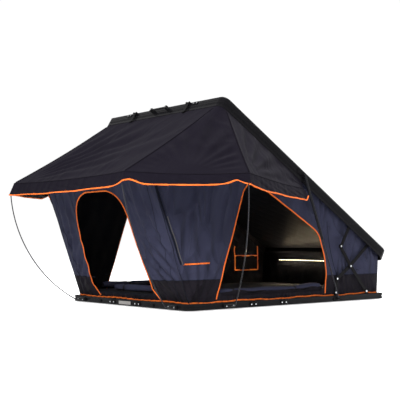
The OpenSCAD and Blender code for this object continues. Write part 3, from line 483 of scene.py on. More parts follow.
@made_once
def lamp_material(name, colour, strength):
    """The light strip: a lens with a row of lit spots along UV, whose light falls off between them. They
    are dimmer to the camera than their light, so that they don't run into one white bar."""
    material, tree, shader = new_material(name)
    along = axis_of(tree, node(tree, "UVMap"), "X")
    spot = calc(tree, "COSINE", calc(tree, "MULTIPLY", along, 2.0 * math.pi / LAMP_PITCH))
    glow = remap(tree, spot, 0.002 * strength, strength, 0.6, 1.0)
    shown = remap(tree, node(tree, "LightPath").outputs["Is Camera Ray"], 1.0, 0.006)
    feed(tree, shader, {"Base Color": (0.8, 0.75, 0.6, 1.0), "Emission Color": (*colour, 1.0),
                        "Emission Strength": calc(tree, "MULTIPLY", glow, shown)})
    return material


def binding_material(settings):
    """The bright binding of walls and fly."""
    return cloth_material("orange_binding", settings.trim, stain=0.1, gloss=0.2)


def wall_materials(settings):
    """Outer canvas with a dark lower band, inner face, bright binding, dark tape for sewn seams and for the
    painted shadow in the window flap's gap, and a pale tape painted as the highlight on the flap's edge.
    """
    return [
        cloth_material("navy_canvas", settings.canvas, band=settings.band, crumple=0.6),
        cloth_material("inner_cloth", settings.inside, gloss=0.02),
        binding_material(settings),
        # Dark tape: sewn seams, and the painted shadow in the window flap's gap.
        cloth_material("seam_tape", (0.011, 0.012, 0.019), gloss=0.03),
        # Pale tape: a painted highlight along the window flap's edge.
        cloth_material("flap_tape", (0.085, 0.080, 0.072), gloss=0.1),
    ]


# Material numbers of the walls and the fly, and of pieces with one or two materials
# The dark tape's number serves sewn seams and the painted shadow in the window flap's gap; the flap's pale
# tape is a painted highlight.
OUTER, INNER, BINDING, DARK_TAPE, FLAP_HIGHLIGHT = range(5)
MAIN, SECOND = range(2)


# Side walls


def side_door():
    """Rounded outline of the side door in x and z."""
    foot = 0.094
    curve = 0.024
    belly = 0.037
    peak = 0.072
    back = 0.352
    top_back = on_shell(0.835, -0.208)
    top_front = on_shell(1.419, -0.242)
    top = top_front[1] + peak

    def front(z):
        """x of the front edge: two straight slopes that meet at a height of 0.58."""
        return -0.770 + 0.300 * (z - foot) + 0.115 * max(z - 0.58, 0.0)
    return soft_outline(np.array([
        (front(foot) + 2 * curve, foot), (back - curve, foot), (back + curve, foot + 1.6 * belly),
        (back + belly, foot + 3.5 * belly), (back + 0.4 * belly, lerp(foot, top_back[1], 0.56)),
        (top_back[0] + 2.5 * curve, top_back[1] - 2.08 * curve), tuple(top_back), tuple(top_front),
        (top_front[0] - 1.53 * peak, top_front[1] + 0.86 * peak), (front(top) + 3 * curve, top),
        (front(top) + curve, top - 0.8 * curve), (front(top - 3 * curve), top - 3 * curve),
        (front(foot + 2 * curve), foot + 2 * curve)]))


FLAP_TOP = np.array([-1.302, 0.844])
FLAP_FOOT = np.array([-1.084, 0.319])
FLAP_SIDE = unit(np.array([FLAP_TOP[1] - FLAP_FOOT[1], FLAP_FOOT[0] - FLAP_TOP[0]]))


def wall_swell(x, z, seed, depth):
    """How far a side wall stands out: fan folds from the foot of its front edge, slow swells, creases and
    gathers above the base, all but flat along the window flap's edge. Behind the door, where the hinge
    folds past it, it only draws in."""
    open_part = 1.0 - ease(0.20, 0.33, x)
    turn = np.arctan2(x + 0.98, z + 0.05)
    reach = np.hypot(x + 0.98, z + 0.05)
    fan = 0.0090 * np.sin(24.0 * turn + 2.0 * np.sin(3.0 * reach)) * hump(reach, 0.5, 0.32)
    lean = 0.0070 * waves(x - 0.35 * z, 0.25 * z, seed, 0.10, 0.26)
    slow = 0.004 * waves(x, z, seed + 1, 0.3, 0.8)
    sharp = 0.0070 * creases(x - 0.3 * z, 0.5 * z, seed + 2, 0.20, 0.50)
    edge = np.abs((x - FLAP_TOP[0]) * FLAP_SIDE[0] + (z - FLAP_TOP[1]) * FLAP_SIDE[1])
    free = ease(WALL_Z, WALL_Z + 0.10, z) * (1.0 - 0.8 * hump(edge, 0.0, 0.07) * ease(0.20, 0.32, z))
    gather = np.exp(-np.maximum(z - WALL_Z, 0.0) / 0.05)
    hem = 0.0035 * np.sin(2.0 * math.pi * x / 0.062 + 2.0 * np.sin(7.0 * x)) * gather
    out = (fan + lean + slow + sharp + 0.004) * free + hem + 0.003 * gather
    slack = ease(0.42, 0.54, x) * ease(1.0, 0.90, x) * ease(0.06, 0.11, z)
    crumple = 0.0040 * waves(x + 0.5 * z, 0.4 * z, seed + 3, 0.07, 0.25)
    crumple = crumple + 0.006 * creases(x + 0.4 * z, z, seed + 4, 0.15, 0.4)
    drawn = slack * (crumple - 0.004) - 0.003
    return depth * np.where(x < 0.33, out * open_part + np.minimum(drawn, 0.0) * (1.0 - open_part),
                            np.minimum(drawn, -0.0004))


class SideFace:
    """The outer face of one side wall, on which its tapes are sewn."""

    def __init__(self, number, settings):
        self.name, self.side = SIDES[number]
        self.seed = 11 + 20 * number
        self.settings = settings
        self.half = settings.binding / 2
        self.outward = np.array([0.0, self.side, 0.0])

    def at(self, x, z, lift=0.0, share=1.0):
        """Places on the face at x and z, lifted outwards. share is the part of the fold depth to use."""
        x, z = np.broadcast_arrays(x, z)
        swell = wall_swell(x, z, self.seed, self.settings.folds * share)
        return joined(x, self.side * (WALL_Y + swell + lift), z)

    def bind(self, pile, x, z, lift, half_thick, share=1.0):
        """Bright binding along x and z."""
        pile.tape(self.at(x, z, lift, share), self.outward, self.half, half_thick, BINDING)

    def seam(self, pile, x, z, lift, half_wide, half_thick=SEWN):
        """Dark tape along x and z, for sewn seams and for the painted shadow in the window flap's gap."""
        pile.tape(self.at(x, z, lift), self.outward, half_wide, half_thick, DARK_TAPE)


def gusset_place(a, t):
    """A place on the front part of a side wall: share a from the front edge to the cut, t upwards."""
    a = np.asarray(a)[..., None]
    t = np.asarray(t)[..., None]
    front = lerp(FRONT_BOTTOM, HOOP_TOP, t)
    top = lerp(HOOD_TOP, HOOP_TOP, (HOOD_TOP[0] - GUSSET_X) / (HOOD_TOP[0] - HOOP_TOP[0]))
    cut = lerp(np.array([GUSSET_X, WALL_Z]), top, t)
    return lerp(front, cut, a)


def window_sill(x):
    """Height of the bar at the foot of the window flap."""
    return 0.322 + 0.006 * ease(-1.08, -0.84, x)


class TENT_OT_side_walls(bpy.types.Operator):
    """Builds the two side walls with their door edges, window flaps and bindings"""
    bl_idname = "tent.side_walls"
    bl_label = "Side walls"

    def execute(self, context):
        for number in range(len(SIDES)):
            face = SideFace(number, context.scene.tent_cloth)
            self.main_part(face)
            for strip in range(GORES):
                self.gusset(face, strip)
        return {"FINISHED"}

    def main_part(self, face):
        """The wall from the straight cut to the foot end: a ring between the door and the wall's edge."""
        rows = 40
        corners = np.array([(GUSSET_X, WALL_Z), REAR_BOTTOM, REAR_TOP, HOOD_TOP, gusset_place(1.0, 1.0)])
        ring = around((-0.2, 0.45), side_door(), even_outline(corners), corners, 420, rows)
        x, z = ring[..., 0], ring[..., 1]
        taut = 1.0 - 0.75 * ease(0.35, 0.0, shares(rows)[:, None]) * ease(0.33, 0.20, x)
        pile = Pile()
        pile.cloth(face.at(x, z, share=taut), ring, OUTER, INNER, face.settings.cloth, ring=True,
                   flip=face.side < 0)
        edge = door_edge(ring, 0.165, (0.372, 0.074), (-0.778, 0.074), 20)
        face.bind(pile, *edge.T, 0.0012, RAISED, share=1.0 - 0.75 * ease(0.33, 0.20, edge[:, 0]))
        foot = np.linspace(GUSSET_X, 1.018, 260)
        rise = 0.0565 + 0.0035 * np.sin(9.0 * foot) + 0.002 * np.sin(31.0 * foot)
        face.bind(pile, foot, rise, 0.0016 * ease(0.33, 0.25, foot) - 0.0003, FLAT)
        sill = np.linspace(GUSSET_X, -0.844, 30)
        face.bind(pile, sill, window_sill(sill), 0.002, RAISED)
        self.seams(face, pile)
        if face.side > 0:
            self.pocket(face, pile)
        obj = pile.build("side_wall_" + face.name, wall_materials(face.settings), "base",
                         "wall_" + face.name)
        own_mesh(obj)

    def seams(self, face, pile):
        """Sewn seams: one up from the door's back edge, and the edge of the dark band."""
        t = shares(60)
        x = lerp(0.545, 0.400, t) - 0.03 * np.sin(math.pi * t)
        face.seam(pile, x, lerp(0.150, 0.640, t), 0.0004, 0.003)
        for start, end in ((GUSSET_X, -0.745), (0.415, 1.03)):
            face.seam(pile, np.linspace(start, end, 60), BAND_Z, 0.0002, 0.0025)

    def pocket(self, face, pile):
        """A flat pocket on the inner face near the foot end, bound on three sides and with a top bar."""
        low, high = 0.218, 0.350
        front, back = 0.652, 0.951
        behind = -(face.settings.cloth + 0.004)
        t = shares(40)
        lines = [(x, lerp(low, high + 0.09, t)) for x in (front, back)]
        lines += [(lerp(front, back, t), z) for z in (low, high)]
        for x, z in lines:
            pile.tape(face.at(x, z, behind), -face.outward, 0.005, 0.002, BINDING)
        u, v = np.meshgrid(np.linspace(front + 0.004, back - 0.004, 40), np.linspace(low, high, 20))
        bulge = 0.006 * hump(u, 0.8, 0.12) * hump(v, 0.27, 0.08)
        panel = joined(u, face.side * (WALL_Y - face.settings.cloth - 0.008 - bulge), v)
        pile.cloth(panel, joined(u, v), INNER, INNER, 0.001, flip=face.side > 0)

    def gusset(self, face, strip):
        """One of the strips of the wall between its front edge and the straight cut."""
        side = face.side
        a, t = np.meshgrid(shares(GORES * GORE_COLS + 1), shares(150))
        place = gusset_place(a, t)
        points = face.at(place[..., 0], place[..., 1])
        points[..., 1] -= side * 0.006 * (1.0 - ease(0.0, 0.035, a * (0.022 + 0.42 * t)))
        normals = grid_normals(points, flip=side > 0)
        cut = slice(GORE_COLS * strip, GORE_COLS * (strip + 1) + 1)
        pile = Pile()
        pile.cloth(points[:, cut], place[:, cut], OUTER, INNER, face.settings.cloth, normals[:, cut],
                   flip=side > 0)
        flap_area = 0.0
        start, end = strip / GORES, (strip + 1) / GORES
        if strip == 0:
            flap_area = self.flap(face, pile)
            pile.tape(points[::2, 0], face.outward, 0.003, 0.0016, DARK_TAPE)
        else:
            bar = np.linspace(lerp(-1.122, GUSSET_X, start), lerp(-1.122, GUSSET_X, end), 12)
            face.bind(pile, bar, window_sill(bar), 0.002, RAISED)
        foot_x = lerp(FRONT_BOTTOM[0] - 0.004, GUSSET_X, np.linspace(start, end, 8))
        face.bind(pile, foot_x, 0.0565 + 0.0035 * np.sin(9.0 * foot_x), 0.0013, FLAT)
        face.seam(pile, lerp(-1.081, GUSSET_X, np.linspace(start, end, 12)), BAND_Z, 0.0002, 0.0025)
        name = "side_wall_%s_gore_%d" % (face.name, strip + 1)
        obj = pile.build(name, wall_materials(face.settings), "base")
        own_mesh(obj)

    def flap(self, face, pile):
        """The free edge of the window flap: a narrow strip that stands off the wall, with a dark tape
        painted as the shadow in its gap and a pale tape painted as the highlight along its edge. Gives the
        strip's flat area."""
        line = lerp(FLAP_TOP, FLAP_FOOT, shares(80)[:, None])
        wide = np.linspace(-0.002, 0.030, 9)
        x, z = np.broadcast_arrays(line[:, :1] + wide, line[:, 1:])
        lift = 0.0135 * (1.0 - ease(0.004, 0.032, wide + 0.002)) - 0.002
        points = face.at(x, z, lift)
        pile.cloth(points, joined(x, z), OUTER, INNER, face.settings.cloth, flip=face.side < 0)
        # Painted shadow: a dark tape along the gap beside the flap's free edge.
        face.seam(pile, line[:, 0] - 0.010, line[:, 1], -0.0004, 0.007, 0.0014)
        # Painted highlight: a pale tape along the lower part of the flap's edge.
        lower = points[30:, 0] + np.array([-0.0025, face.side * 0.001, 0.0])
        pile.tape(lower, face.outward, 0.0028, 0.0018, FLAP_HIGHLIGHT)
        return float((wide[-1] - wide[0]) * np.linalg.norm(line[-1] - line[0]))


# Front wall, hood and hoop


FRONT_UP = unit(HOOP_TOP - FRONT_BOTTOM)
FRONT_OUT = np.array([-FRONT_UP[1], FRONT_UP[0]])
FRONT_SPAN = float(np.linalg.norm(HOOP_TOP - FRONT_BOTTOM))
FRONT_FACING = np.array([FRONT_OUT[0], 0.0, FRONT_OUT[1]])


def front_door():
    """Rounded outline of the front door in y and the distance up the wall, its foot set to the right."""
    half = np.array([(0.335, 0.044), (0.374, 0.080), (0.379, 0.150), (0.341, 0.550), (0.329, 0.650),
                     (0.306, 0.728), (0.266, 0.786), (0.210, 0.824), (0.137, 0.847)])
    both = np.concatenate([half, half[::-1] * MIRROR_FIRST])
    both[:, 0] += 0.050 - 0.045 * both[:, 1]
    return soft_outline(both, blur=0.018)


def front_place(y, t, out):
    """A place on the front wall: y across, t up its slope and out from its plane."""
    spot = FRONT_BOTTOM + t[..., None] * FRONT_UP + out[..., None] * FRONT_OUT
    return in_space(spot, y)


def front_swell(y, t, depth):
    """How far the front wall stands out: a belly, puckers beside the door and slanting creases."""
    share = np.clip(t / FRONT_SPAN, 0.0, 1.0)
    belly = 0.036 * (1.0 - (y / PANEL_Y) ** 2) * np.sin(math.pi * share) ** 0.8
    beside = hump(np.abs(y), 0.53, 0.12)
    slant = np.abs(y) * 0.9 + t
    ripple = 2.0 * math.pi * slant / 0.085 + 3.0 * np.sin(9.0 * t)
    pucker = 0.0120 * np.sin(ripple) * beside * hump(t, 0.34, 0.20)
    long_fold = 0.008 * np.sin(2.0 * math.pi * (np.abs(y) + 0.18 * t) / 0.11) * beside * ease(0.1, 0.5, t)
    sharp = 0.008 * creases(np.abs(y), 0.6 * t, 71, 0.2, 0.45) * beside
    edge = 1.0 - ease(PANEL_Y - 0.05, PANEL_Y, np.abs(y))
    hem = 0.003 * np.sin(2.0 * math.pi * y / 0.07) * np.exp(-t / 0.05)
    lower = ease(0.0, 0.08, t)
    return belly + depth * ((pucker + long_fold + sharp) * lower * edge + hem)


class TENT_OT_front_wall(bpy.types.Operator):
    """Builds the front wall with its door edge, the hood above it and the hoop behind it"""
    bl_idname = "tent.front_wall"
    bl_label = "Front wall"

    def execute(self, context):
        settings = context.scene.tent_cloth
        self.wall(settings)
        self.hood(settings)
        self.hoop()
        return {"FINISHED"}

    def wall(self, settings):
        """The front wall: a ring between the door and the wall's edge."""
        corners = np.array([(-PANEL_Y, 0.0), (PANEL_Y, 0.0), (PANEL_Y, FRONT_SPAN), (-PANEL_Y, FRONT_SPAN)])
        ring = around((0.0, 0.40), front_door(), even_outline(corners), corners, 360, 40)
        pile = Pile()

        def at(y, t, lift):
            """Places on the wall's outer face, lifted outwards."""
            y, t = np.broadcast_arrays(y, t)
            return front_place(y, t, front_swell(y, t, settings.folds) + lift)

        def tape(y, t, lift, half_wide, half_thick, slot):
            """A tape on the face along y and t."""
            pile.tape(at(y, t, lift), FRONT_FACING, half_wide, half_thick, slot)
        y, t = ring[..., 0], ring[..., 1]
        height = WALL_Z + t * FRONT_UP[1]
        pile.cloth(at(y, t, 0.0), joined(y, height), OUTER, INNER, settings.cloth, ring=True)
        half = settings.binding / 2
        edge = door_edge(ring, 0.100, (0.372, 0.019), (-0.372, 0.019), 16)
        tape(*edge.T, 0.0012, half, RAISED, BINDING)
        foot = np.linspace(-PANEL_Y - 0.003, PANEL_Y + 0.003, 200)
        tape(foot, 0.006 + 0.003 * np.sin(11.0 * foot), 0.0015, half, FLAT, BINDING)
        for sign in (-1.0, 1.0):
            across = sign * np.linspace(0.35, PANEL_Y - 0.002, 50)
            tape(across, (BAND_Z - WALL_Z) / FRONT_UP[1], 0.0002, 0.0025, SEWN, DARK_TAPE)
            tape(sign * (PANEL_Y - 0.085), np.linspace(0.02, 0.93, 90), 0.0005, 0.0022, SEWN, DARK_TAPE)
        obj = pile.build("front_wall", wall_materials(settings), "base", "wall_front")
        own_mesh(obj)

    def hood(self, settings):
        """The cloth from the top of the front wall up to the shell."""
        start = HOOP_TOP + np.array([0.003, 0.0])
        up = unit(HOOD_TOP - start)
        out = np.array([-up[1], up[0]])
        y, t = np.meshgrid(np.linspace(-PANEL_Y, PANEL_Y, 90), np.linspace(0.001, 0.999, 40))
        sag = settings.folds * (0.006 * waves(y, 0.4 * t, 91, 0.12, 0.4) - 0.012) * np.sin(math.pi * t)
        spot = lerp(start, HOOD_TOP, t[..., None]) + sag[..., None] * out
        pile = Pile()
        pile.cloth(in_space(spot, y), joined(y, spot[..., 1]), OUTER, INNER, settings.cloth, flip=True)
        obj = pile.build("front_hood", wall_materials(settings), "shell", "wall_hood")
        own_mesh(obj)

    def hoop(self):
        """The bent tube behind the front wall: two legs and a bar with round corners."""
        bend = 0.080
        wide = 0.6475
        foot_z = 0.039
        top = (0.918 - foot_z) / FRONT_UP[1]
        turn = np.linspace(0.0, math.pi / 2, 17)
        leg = joined(wide, np.linspace(0.0, top - bend, 60, endpoint=False))
        corner = joined(wide - bend + bend * np.cos(turn), top - bend + bend * np.sin(turn))
        half = np.concatenate([leg, corner])
        line = np.concatenate([half, half[::-1] * MIRROR_FIRST])
        start = np.array([-1.003 - 0.372 * foot_z + 0.022, foot_z])
        spot = start + line[:, 1:] * FRONT_UP
        pile = Pile()
        pile.tape(in_space(spot, line[:, 0]), FRONT_FACING, HOOP_R, HOOP_R, MAIN, sides=16)
        obj = pile.build("front_hoop_tube", [finish("bare_steel")], "base", "front_hoop")
        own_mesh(obj)


class TENT_OT_rear_wall(bpy.types.Operator):
    """Builds the low wall at the foot end"""
    bl_idname = "tent.rear_wall"
    bl_label = "Rear wall"

    def execute(self, context):
        settings = context.scene.tent_cloth
        y, t = np.meshgrid(np.linspace(-PANEL_Y, PANEL_Y, 150), np.linspace(0.001, 0.999, 50))
        spot = lerp(REAR_BOTTOM, REAR_TOP, t[..., None])
        z = spot[..., 1]
        fold = 0.004 * waves(y, 0.2 * z, 131, 0.08, 0.3) - 0.004
        gather = 0.003 * np.sin(2.0 * math.pi * y / 0.06 + 2.0 * np.sin(6.0 * y)) * np.exp(-t / 0.15)
        points = joined(spot[..., 0] + settings.folds * (fold * np.sin(math.pi * t) + gather), y, z)
        pile = Pile()
        pile.cloth(points, joined(y, z), OUTER, INNER, settings.cloth)
        low = points[1] + np.array([0.001, 0.0, 0.005])
        pile.tape(low, np.array([1.0, 0.0, 0.0]), settings.binding / 2, FLAT, BINDING)
        obj = pile.build("rear_wall", wall_materials(settings), "base", "wall_rear")
        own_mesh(obj)
        return {"FINISHED"}


# Fly


def shell_point(x, y, n):
    """A place on the open shell from x and y on the flat shell and n above its lip."""
    return in_space(on_shell(HALF_LEN - x, n), y)


def side_lines(u, side):
    """Top edge and fold line of a side panel, from its back end to the corner."""
    back = shell_point(FLY_BACK_X, FLY_SIDE_Y, FLY_N)
    top = shell_point(lerp(FLY_BACK_X, RAIL_W - HALF_LEN, u), FLY_SIDE_Y, FLY_N)
    fold = lerp(np.array([back[0], HALF_W + 0.022, back[2] - 0.055]), FOLD_SIDE, u[:, None])
    fold[:, 2] -= 0.008 * np.sin(math.pi * u)
    mirror = np.array([1.0, side, 1.0])
    return top * mirror, fold * mirror


def corner_lines(u, side):
    """Top edge and fold line of a corner panel, from the side to the front."""
    turn = 0.5 * math.pi * u
    reach = RAIL_W - 0.003
    x = RAIL_W - HALF_LEN - reach * np.sin(turn)
    top = shell_point(x, HALF_W - RAIL_W + reach * np.cos(turn), FLY_N)
    fold = lerp(FOLD_SIDE, FOLD_FRONT, u[:, None])
    fold[:, 2] -= 0.013 * np.sin(math.pi * u)
    mirror = np.array([1.0, side, 1.0])
    return top * mirror, fold * mirror


def front_lines(u):
    """Top edge and fold line of the front panel, from left to right."""
    wide = HALF_W - RAIL_W
    top = shell_point(0.003 - HALF_LEN, lerp(-wide, wide, u), FLY_N)
    fold = lerp(FOLD_FRONT * MIRROR_Y, FOLD_FRONT, u[:, None])
    fold[:, 2] -= 0.014 * np.sin(math.pi * u) ** 0.7
    return top, fold


def fly_panel(top, fold, rows, seed, depth, radiate):
    """A panel between its top edge and its fold line: sagging, with folds that radiate from the
    fold's point at share radiate of its length, slow swells and creases, which die out at its seams."""
    v = shares(rows)[:, None]
    u = shares(len(fold))[None, :]
    flat = lerp(top[None], fold[None], v[..., None])
    outward = grid_normals(flat)
    outward *= np.sign(outward[..., 2:])
    away = flat - lerp(fold[0], fold[-1], radiate)
    along = (away * unit(fold[-1] - fold[0])).sum(-1)
    reach = np.linalg.norm(away, axis=-1)
    turn = np.arccos(np.clip(along / np.maximum(reach, 1e-6), -1.0, 1.0))
    fan = np.sin(26.0 * turn + 3.0 * np.sin(2.0 * turn)) * ease(0.05, 0.45, reach) * ease(1.5, 0.7, reach)
    w = np.broadcast_to(v, along.shape)
    soft = 0.0050 * waves(along, 0.5 * w, seed, 0.15, 0.5)
    soft = soft + 0.0060 * creases(along, 0.4 * w, seed + 1, 0.2, 0.6)
    hold = np.sin(math.pi * v) ** 0.7 * ease(0.0, 0.16, u) * ease(1.0, 0.84, u)
    points = flat + (depth * hold * (0.0095 * fan + soft))[..., None] * outward
    points[..., 2] -= 0.014 * np.sin(math.pi * v)
    return points


HEM_RISES = (
    lerp(FOLD_SIDE, FOLD_FRONT, 0.11),
    lerp(FOLD_SIDE, FOLD_FRONT, 0.11) * MIRROR_Y,
    lerp(FOLD_SIDE, FOLD_FRONT, 0.95) * MIRROR_Y,
)


def fly_skirt(fold, seed, depth, short=0.0, taper=False):
    """The hem below the fold line: it flares and puckers, and its lower edge rises where the poles lift it.
    It is shorter in its middle by the share short. With taper it also rises at its first end."""
    w = shares(HEM_ROWS)[:, None]
    run = summed(steps_of(fold))
    gaps = [np.linalg.norm(fold - spot, axis=-1) for spot in HEM_RISES]
    peaks = [1.4 * np.exp(-np.hypot(gap, 0.012) / 0.060) for gap in gaps[:2]]
    lifted = np.clip(sum(peaks) + hump(gaps[2], 0.0, 0.070), 0.0, 1.3)
    drop = HEM_DROP * (1.0 - 0.40 * lifted) * (1.0 + 0.02 * np.sin((fold[:, 0] + 1.7 * fold[:, 1]) / 0.11))
    drop = drop * (1.0 - short * np.sin(math.pi * run / run[-1]))
    if taper:
        drop = drop * (0.62 + 0.38 * ease(0.0, 0.045, run))
    out = unit(joined(fold[:, 0] + 0.3225, fold[:, 1], 0.0))
    ends = ease(0.0, 0.05, run) * ease(0.0, 0.05, run[-1] - run)
    ripple = 2.0 * math.pi * run / 0.11 + 2.0 * np.sin(run / 0.07 + seed)
    pucker = 0.0016 * np.sin(ripple) * np.sin(0.5 * math.pi * w)
    pucker = pucker + 0.0045 * waves(run[None] + 0.4 * w, 0.15 * w, seed, 0.09, 0.30) * w
    flare = HEM_FLARE * w * (1.0 - 0.3 * lifted) + depth * (pucker * ends - 0.006 * w)
    points = fold[None] + flare[..., None] * out[None]
    points[..., 2] -= drop[None] * w
    return points


def fly_uv(points):
    """UV in metres from the run along the rows and the columns of a grid."""
    along = np.linalg.norm(np.diff(points, axis=1), axis=-1).mean(axis=0)
    down = np.linalg.norm(np.diff(points, axis=0), axis=-1).mean(axis=1)
    return joined(*np.meshgrid(summed(along), summed(down)))


class FlyCloth:
    """A stretch of the fly, its panel and its hem, from which pieces are cut."""

    def __init__(self, lines, rows, seed, hem_seed, radiate, flip, settings, **hem):
        self.top, self.fold = lines
        self.flip = flip
        self.settings = settings
        self.panel = fly_panel(self.top, self.fold, rows, seed, settings.folds, radiate)
        self.skirt = fly_skirt(self.fold, hem_seed, settings.folds, **hem)

    def piece(self, name, cut, seams=()):
        """The columns of cut with hem and binding, as one piece under the shell's body."""
        settings = self.settings
        pile = Pile()
        normals = []
        for sheet in (self.panel, self.skirt):
            normals.append(grid_normals(sheet, flip=self.flip)[:, cut])
            pile.cloth(sheet[:, cut], fly_uv(sheet)[:, cut], OUTER, INNER, settings.cloth, normals[-1],
                       flip=self.flip)
        panel, skirt = self.panel[:, cut], self.skirt[:, cut]
        pile.tape(skirt[-1], normals[1][-1], settings.binding / 2, RAISED, BINDING)
        pile.tape(panel[-1], unit(normals[0][-1] + normals[1][0]), 0.0035, SEWN, DARK_TAPE)
        for column in seams:
            facing = normals[0][2:-1, column]
            pile.tape(panel[2:-1, column] + 0.001 * facing, facing, 0.0045, 0.0022, DARK_TAPE)
        obj = pile.build(name, [
            cloth_material("black_fly", settings.fly, stain=0.12, thread=0.2, gloss=0.010, crumple=0.10,
                           sheen=0.012),
            cloth_material("fly_lining", (0.010, 0.010, 0.012)),
            binding_material(settings),
            cloth_material("fly_seam", (0.0064, 0.0054, 0.0082), gloss=0.01),
        ], "shell")
        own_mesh(obj)
        return obj


class TENT_OT_fly(bpy.types.Operator):
    """Builds the fly: a front panel, two side panels and two corners in strips"""
    bl_idname = "tent.fly"
    bl_label = "Fly"

    def execute(self, context):
        settings = context.scene.tent_cloth
        first = self.front(settings)
        for number, (name, side) in enumerate(SIDES):
            self.side_panel(name, side, number, settings)
            self.corner(name, side, number, settings)
        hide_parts("fly")
        return {"FINISHED"}

    def front(self, settings):
        """The front panel and its two ends. Gives the panel."""
        cloth = FlyCloth(front_lines(shares(181)), 60, 201, 5, 1.0, False, settings)
        pieces = []
        cuts = {"": slice(15, 166), "_end_left": slice(0, 16), "_end_right": slice(165, 181)}
        for end, cut in cuts.items():
            pieces.append(cloth.piece("fly_front" + end, cut))
        return pieces[0]

    def side_panel(self, name, side, number, settings):
        """One side panel, from the strut to the corner."""
        lines = side_lines(shares(141), side)
        cloth = FlyCloth(lines, 50, 261 + number, 13 + number, 1.0, side > 0, settings, taper=True)
        cloth.piece("fly_side_" + name, slice(0, 141))

    def corner(self, name, side, number, settings):
        """One corner in strips, with seams at its first and last edge."""
        lines = corner_lines(shares(STRIPS * STRIP_COLS + 1), side)
        cloth = FlyCloth(lines, 60, 231 + number, 9 + number, 0.5, side > 0, settings, short=0.17)
        seams = {0: (0,), STRIPS - 1: (-1,)}
        for strip in range(STRIPS):
            start = STRIP_COLS * strip
            cut = slice(start, start + STRIP_COLS + 1)
            cloth.piece("fly_corner_%s_%d" % (name, strip + 1), cut,
                        seams.get(strip, ()))


# Padding


class TENT_OT_mattress(bpy.types.Operator):
    """Builds the mattress with its crowned top and piped edges"""
    bl_idname = "tent.mattress"
    bl_label = "Mattress"

    def execute(self, context):
        low, thick, crown, draw = 0.0313, 0.066, 0.007, 0.009
        a, b = np.meshgrid(np.linspace(-1.0, 1.0, 150), np.linspace(-1.0, 1.0, 100))

        def layer(z, swell, inset):
            """A level face whose sides draw in between its corners, crowned by swell."""
            x = a * (0.975 - inset - draw * (1.0 - b * b))
            y = b * (0.637 - inset - draw * (1.0 - a * a))
            wave = 0.0012 * waves(x, y, 301, 0.15, 0.5) * (swell > 0)
            return joined(x, y, z + (swell + wave) * (1.0 - a ** 6) * (1.0 - b ** 6))

        def rim(face):
            """The edge of a face in one closed run."""
            edges = (face[0], face[:, -1], face[-1, ::-1], face[::-1, 0])
            return np.concatenate([edge[:-1] for edge in edges])
        pile = Pile()
        top = layer(low + thick, crown, 0.010)
        bottom = layer(low, 0.0, 0.006)
        pile.solid(top, top[..., :2], MAIN)
        pile.solid(bottom, top[..., :2], MAIN, flip=True)
        high, foot = rim(top), rim(bottom)
        t = shares(14)[:, None, None]
        out = unit(np.cross(np.roll(high, -1, axis=0) - np.roll(high, 1, axis=0), UP))
        side = lerp(high, foot, t) + 0.010 * np.sin(math.pi * t) ** 0.5 * out
        side_uv = joined(np.arange(len(high)) * 0.02, t[..., 0] * thick)
        pile.solid(side, side_uv, MAIN, ring=True, flip=True)
        loop = np.concatenate([high, high[:1]])
        loop_out = np.concatenate([out, out[:1]])
        pile.tape(loop + 0.002 * loop_out, loop_out, 0.004, 0.004, SECOND)
        obj = pile.build("mattress_pad", [
            cloth_material("mattress_cover", (0.016, 0.0165, 0.0215), stain=0.25, gloss=0.01),
            cloth_material("mattress_piping", (0.010, 0.010, 0.012)),
        ], "base", "mattress")
        return {"FINISHED"}


def roll_points(length, radius, seed, ties):
    """A rolled flap along its first axis: folds that wind round it, waists at ties and drawn-in ends."""
    round_it = np.linspace(0.0, 2 * math.pi, 40, endpoint=False)
    x, turn = np.meshgrid(np.linspace(-0.5, 0.5, 160) * length, round_it, indexing="ij")
    waist = 1.0
    for spot in ties:
        waist = waist * (1.0 - 0.30 * hump(x, spot * length, 0.022))
    ends = 0.72 + 0.28 * ease(0.0, 0.05, 0.5 * length - np.abs(x))
    wind = 1.0 + 0.05 * np.sin(3.0 * turn + 14.0 * x + seed) + 0.05 * waves(x, 0.03 * turn, seed, 0.08, 0.3)
    lap = 0.10 * ease(0.0, 0.7, turn) * ease(2 * math.pi, 5.4, turn)
    reach = radius * np.clip(0.90 * waist * ends * wind + lap - 0.05, 0.3, 1.0)
    return joined(x, reach * np.cos(turn), reach * np.sin(turn))


def slouch(points, length, radius, amount):
    """Lets a side roll lie flat on the mattress: flattest in its middle, rounder towards its ends."""
    along = points[..., 0] / length
    flat = 0.42 - 0.06 * np.sin(17.0 * along + 1.0)
    flat = flat - 0.30 * ease(0.22, 0.48, along) - 0.22 * ease(-0.36, -0.48, along)
    z = (points[..., 2] + radius) * (1.0 - amount * flat) - radius
    return joined(points[..., 0], points[..., 1], z)


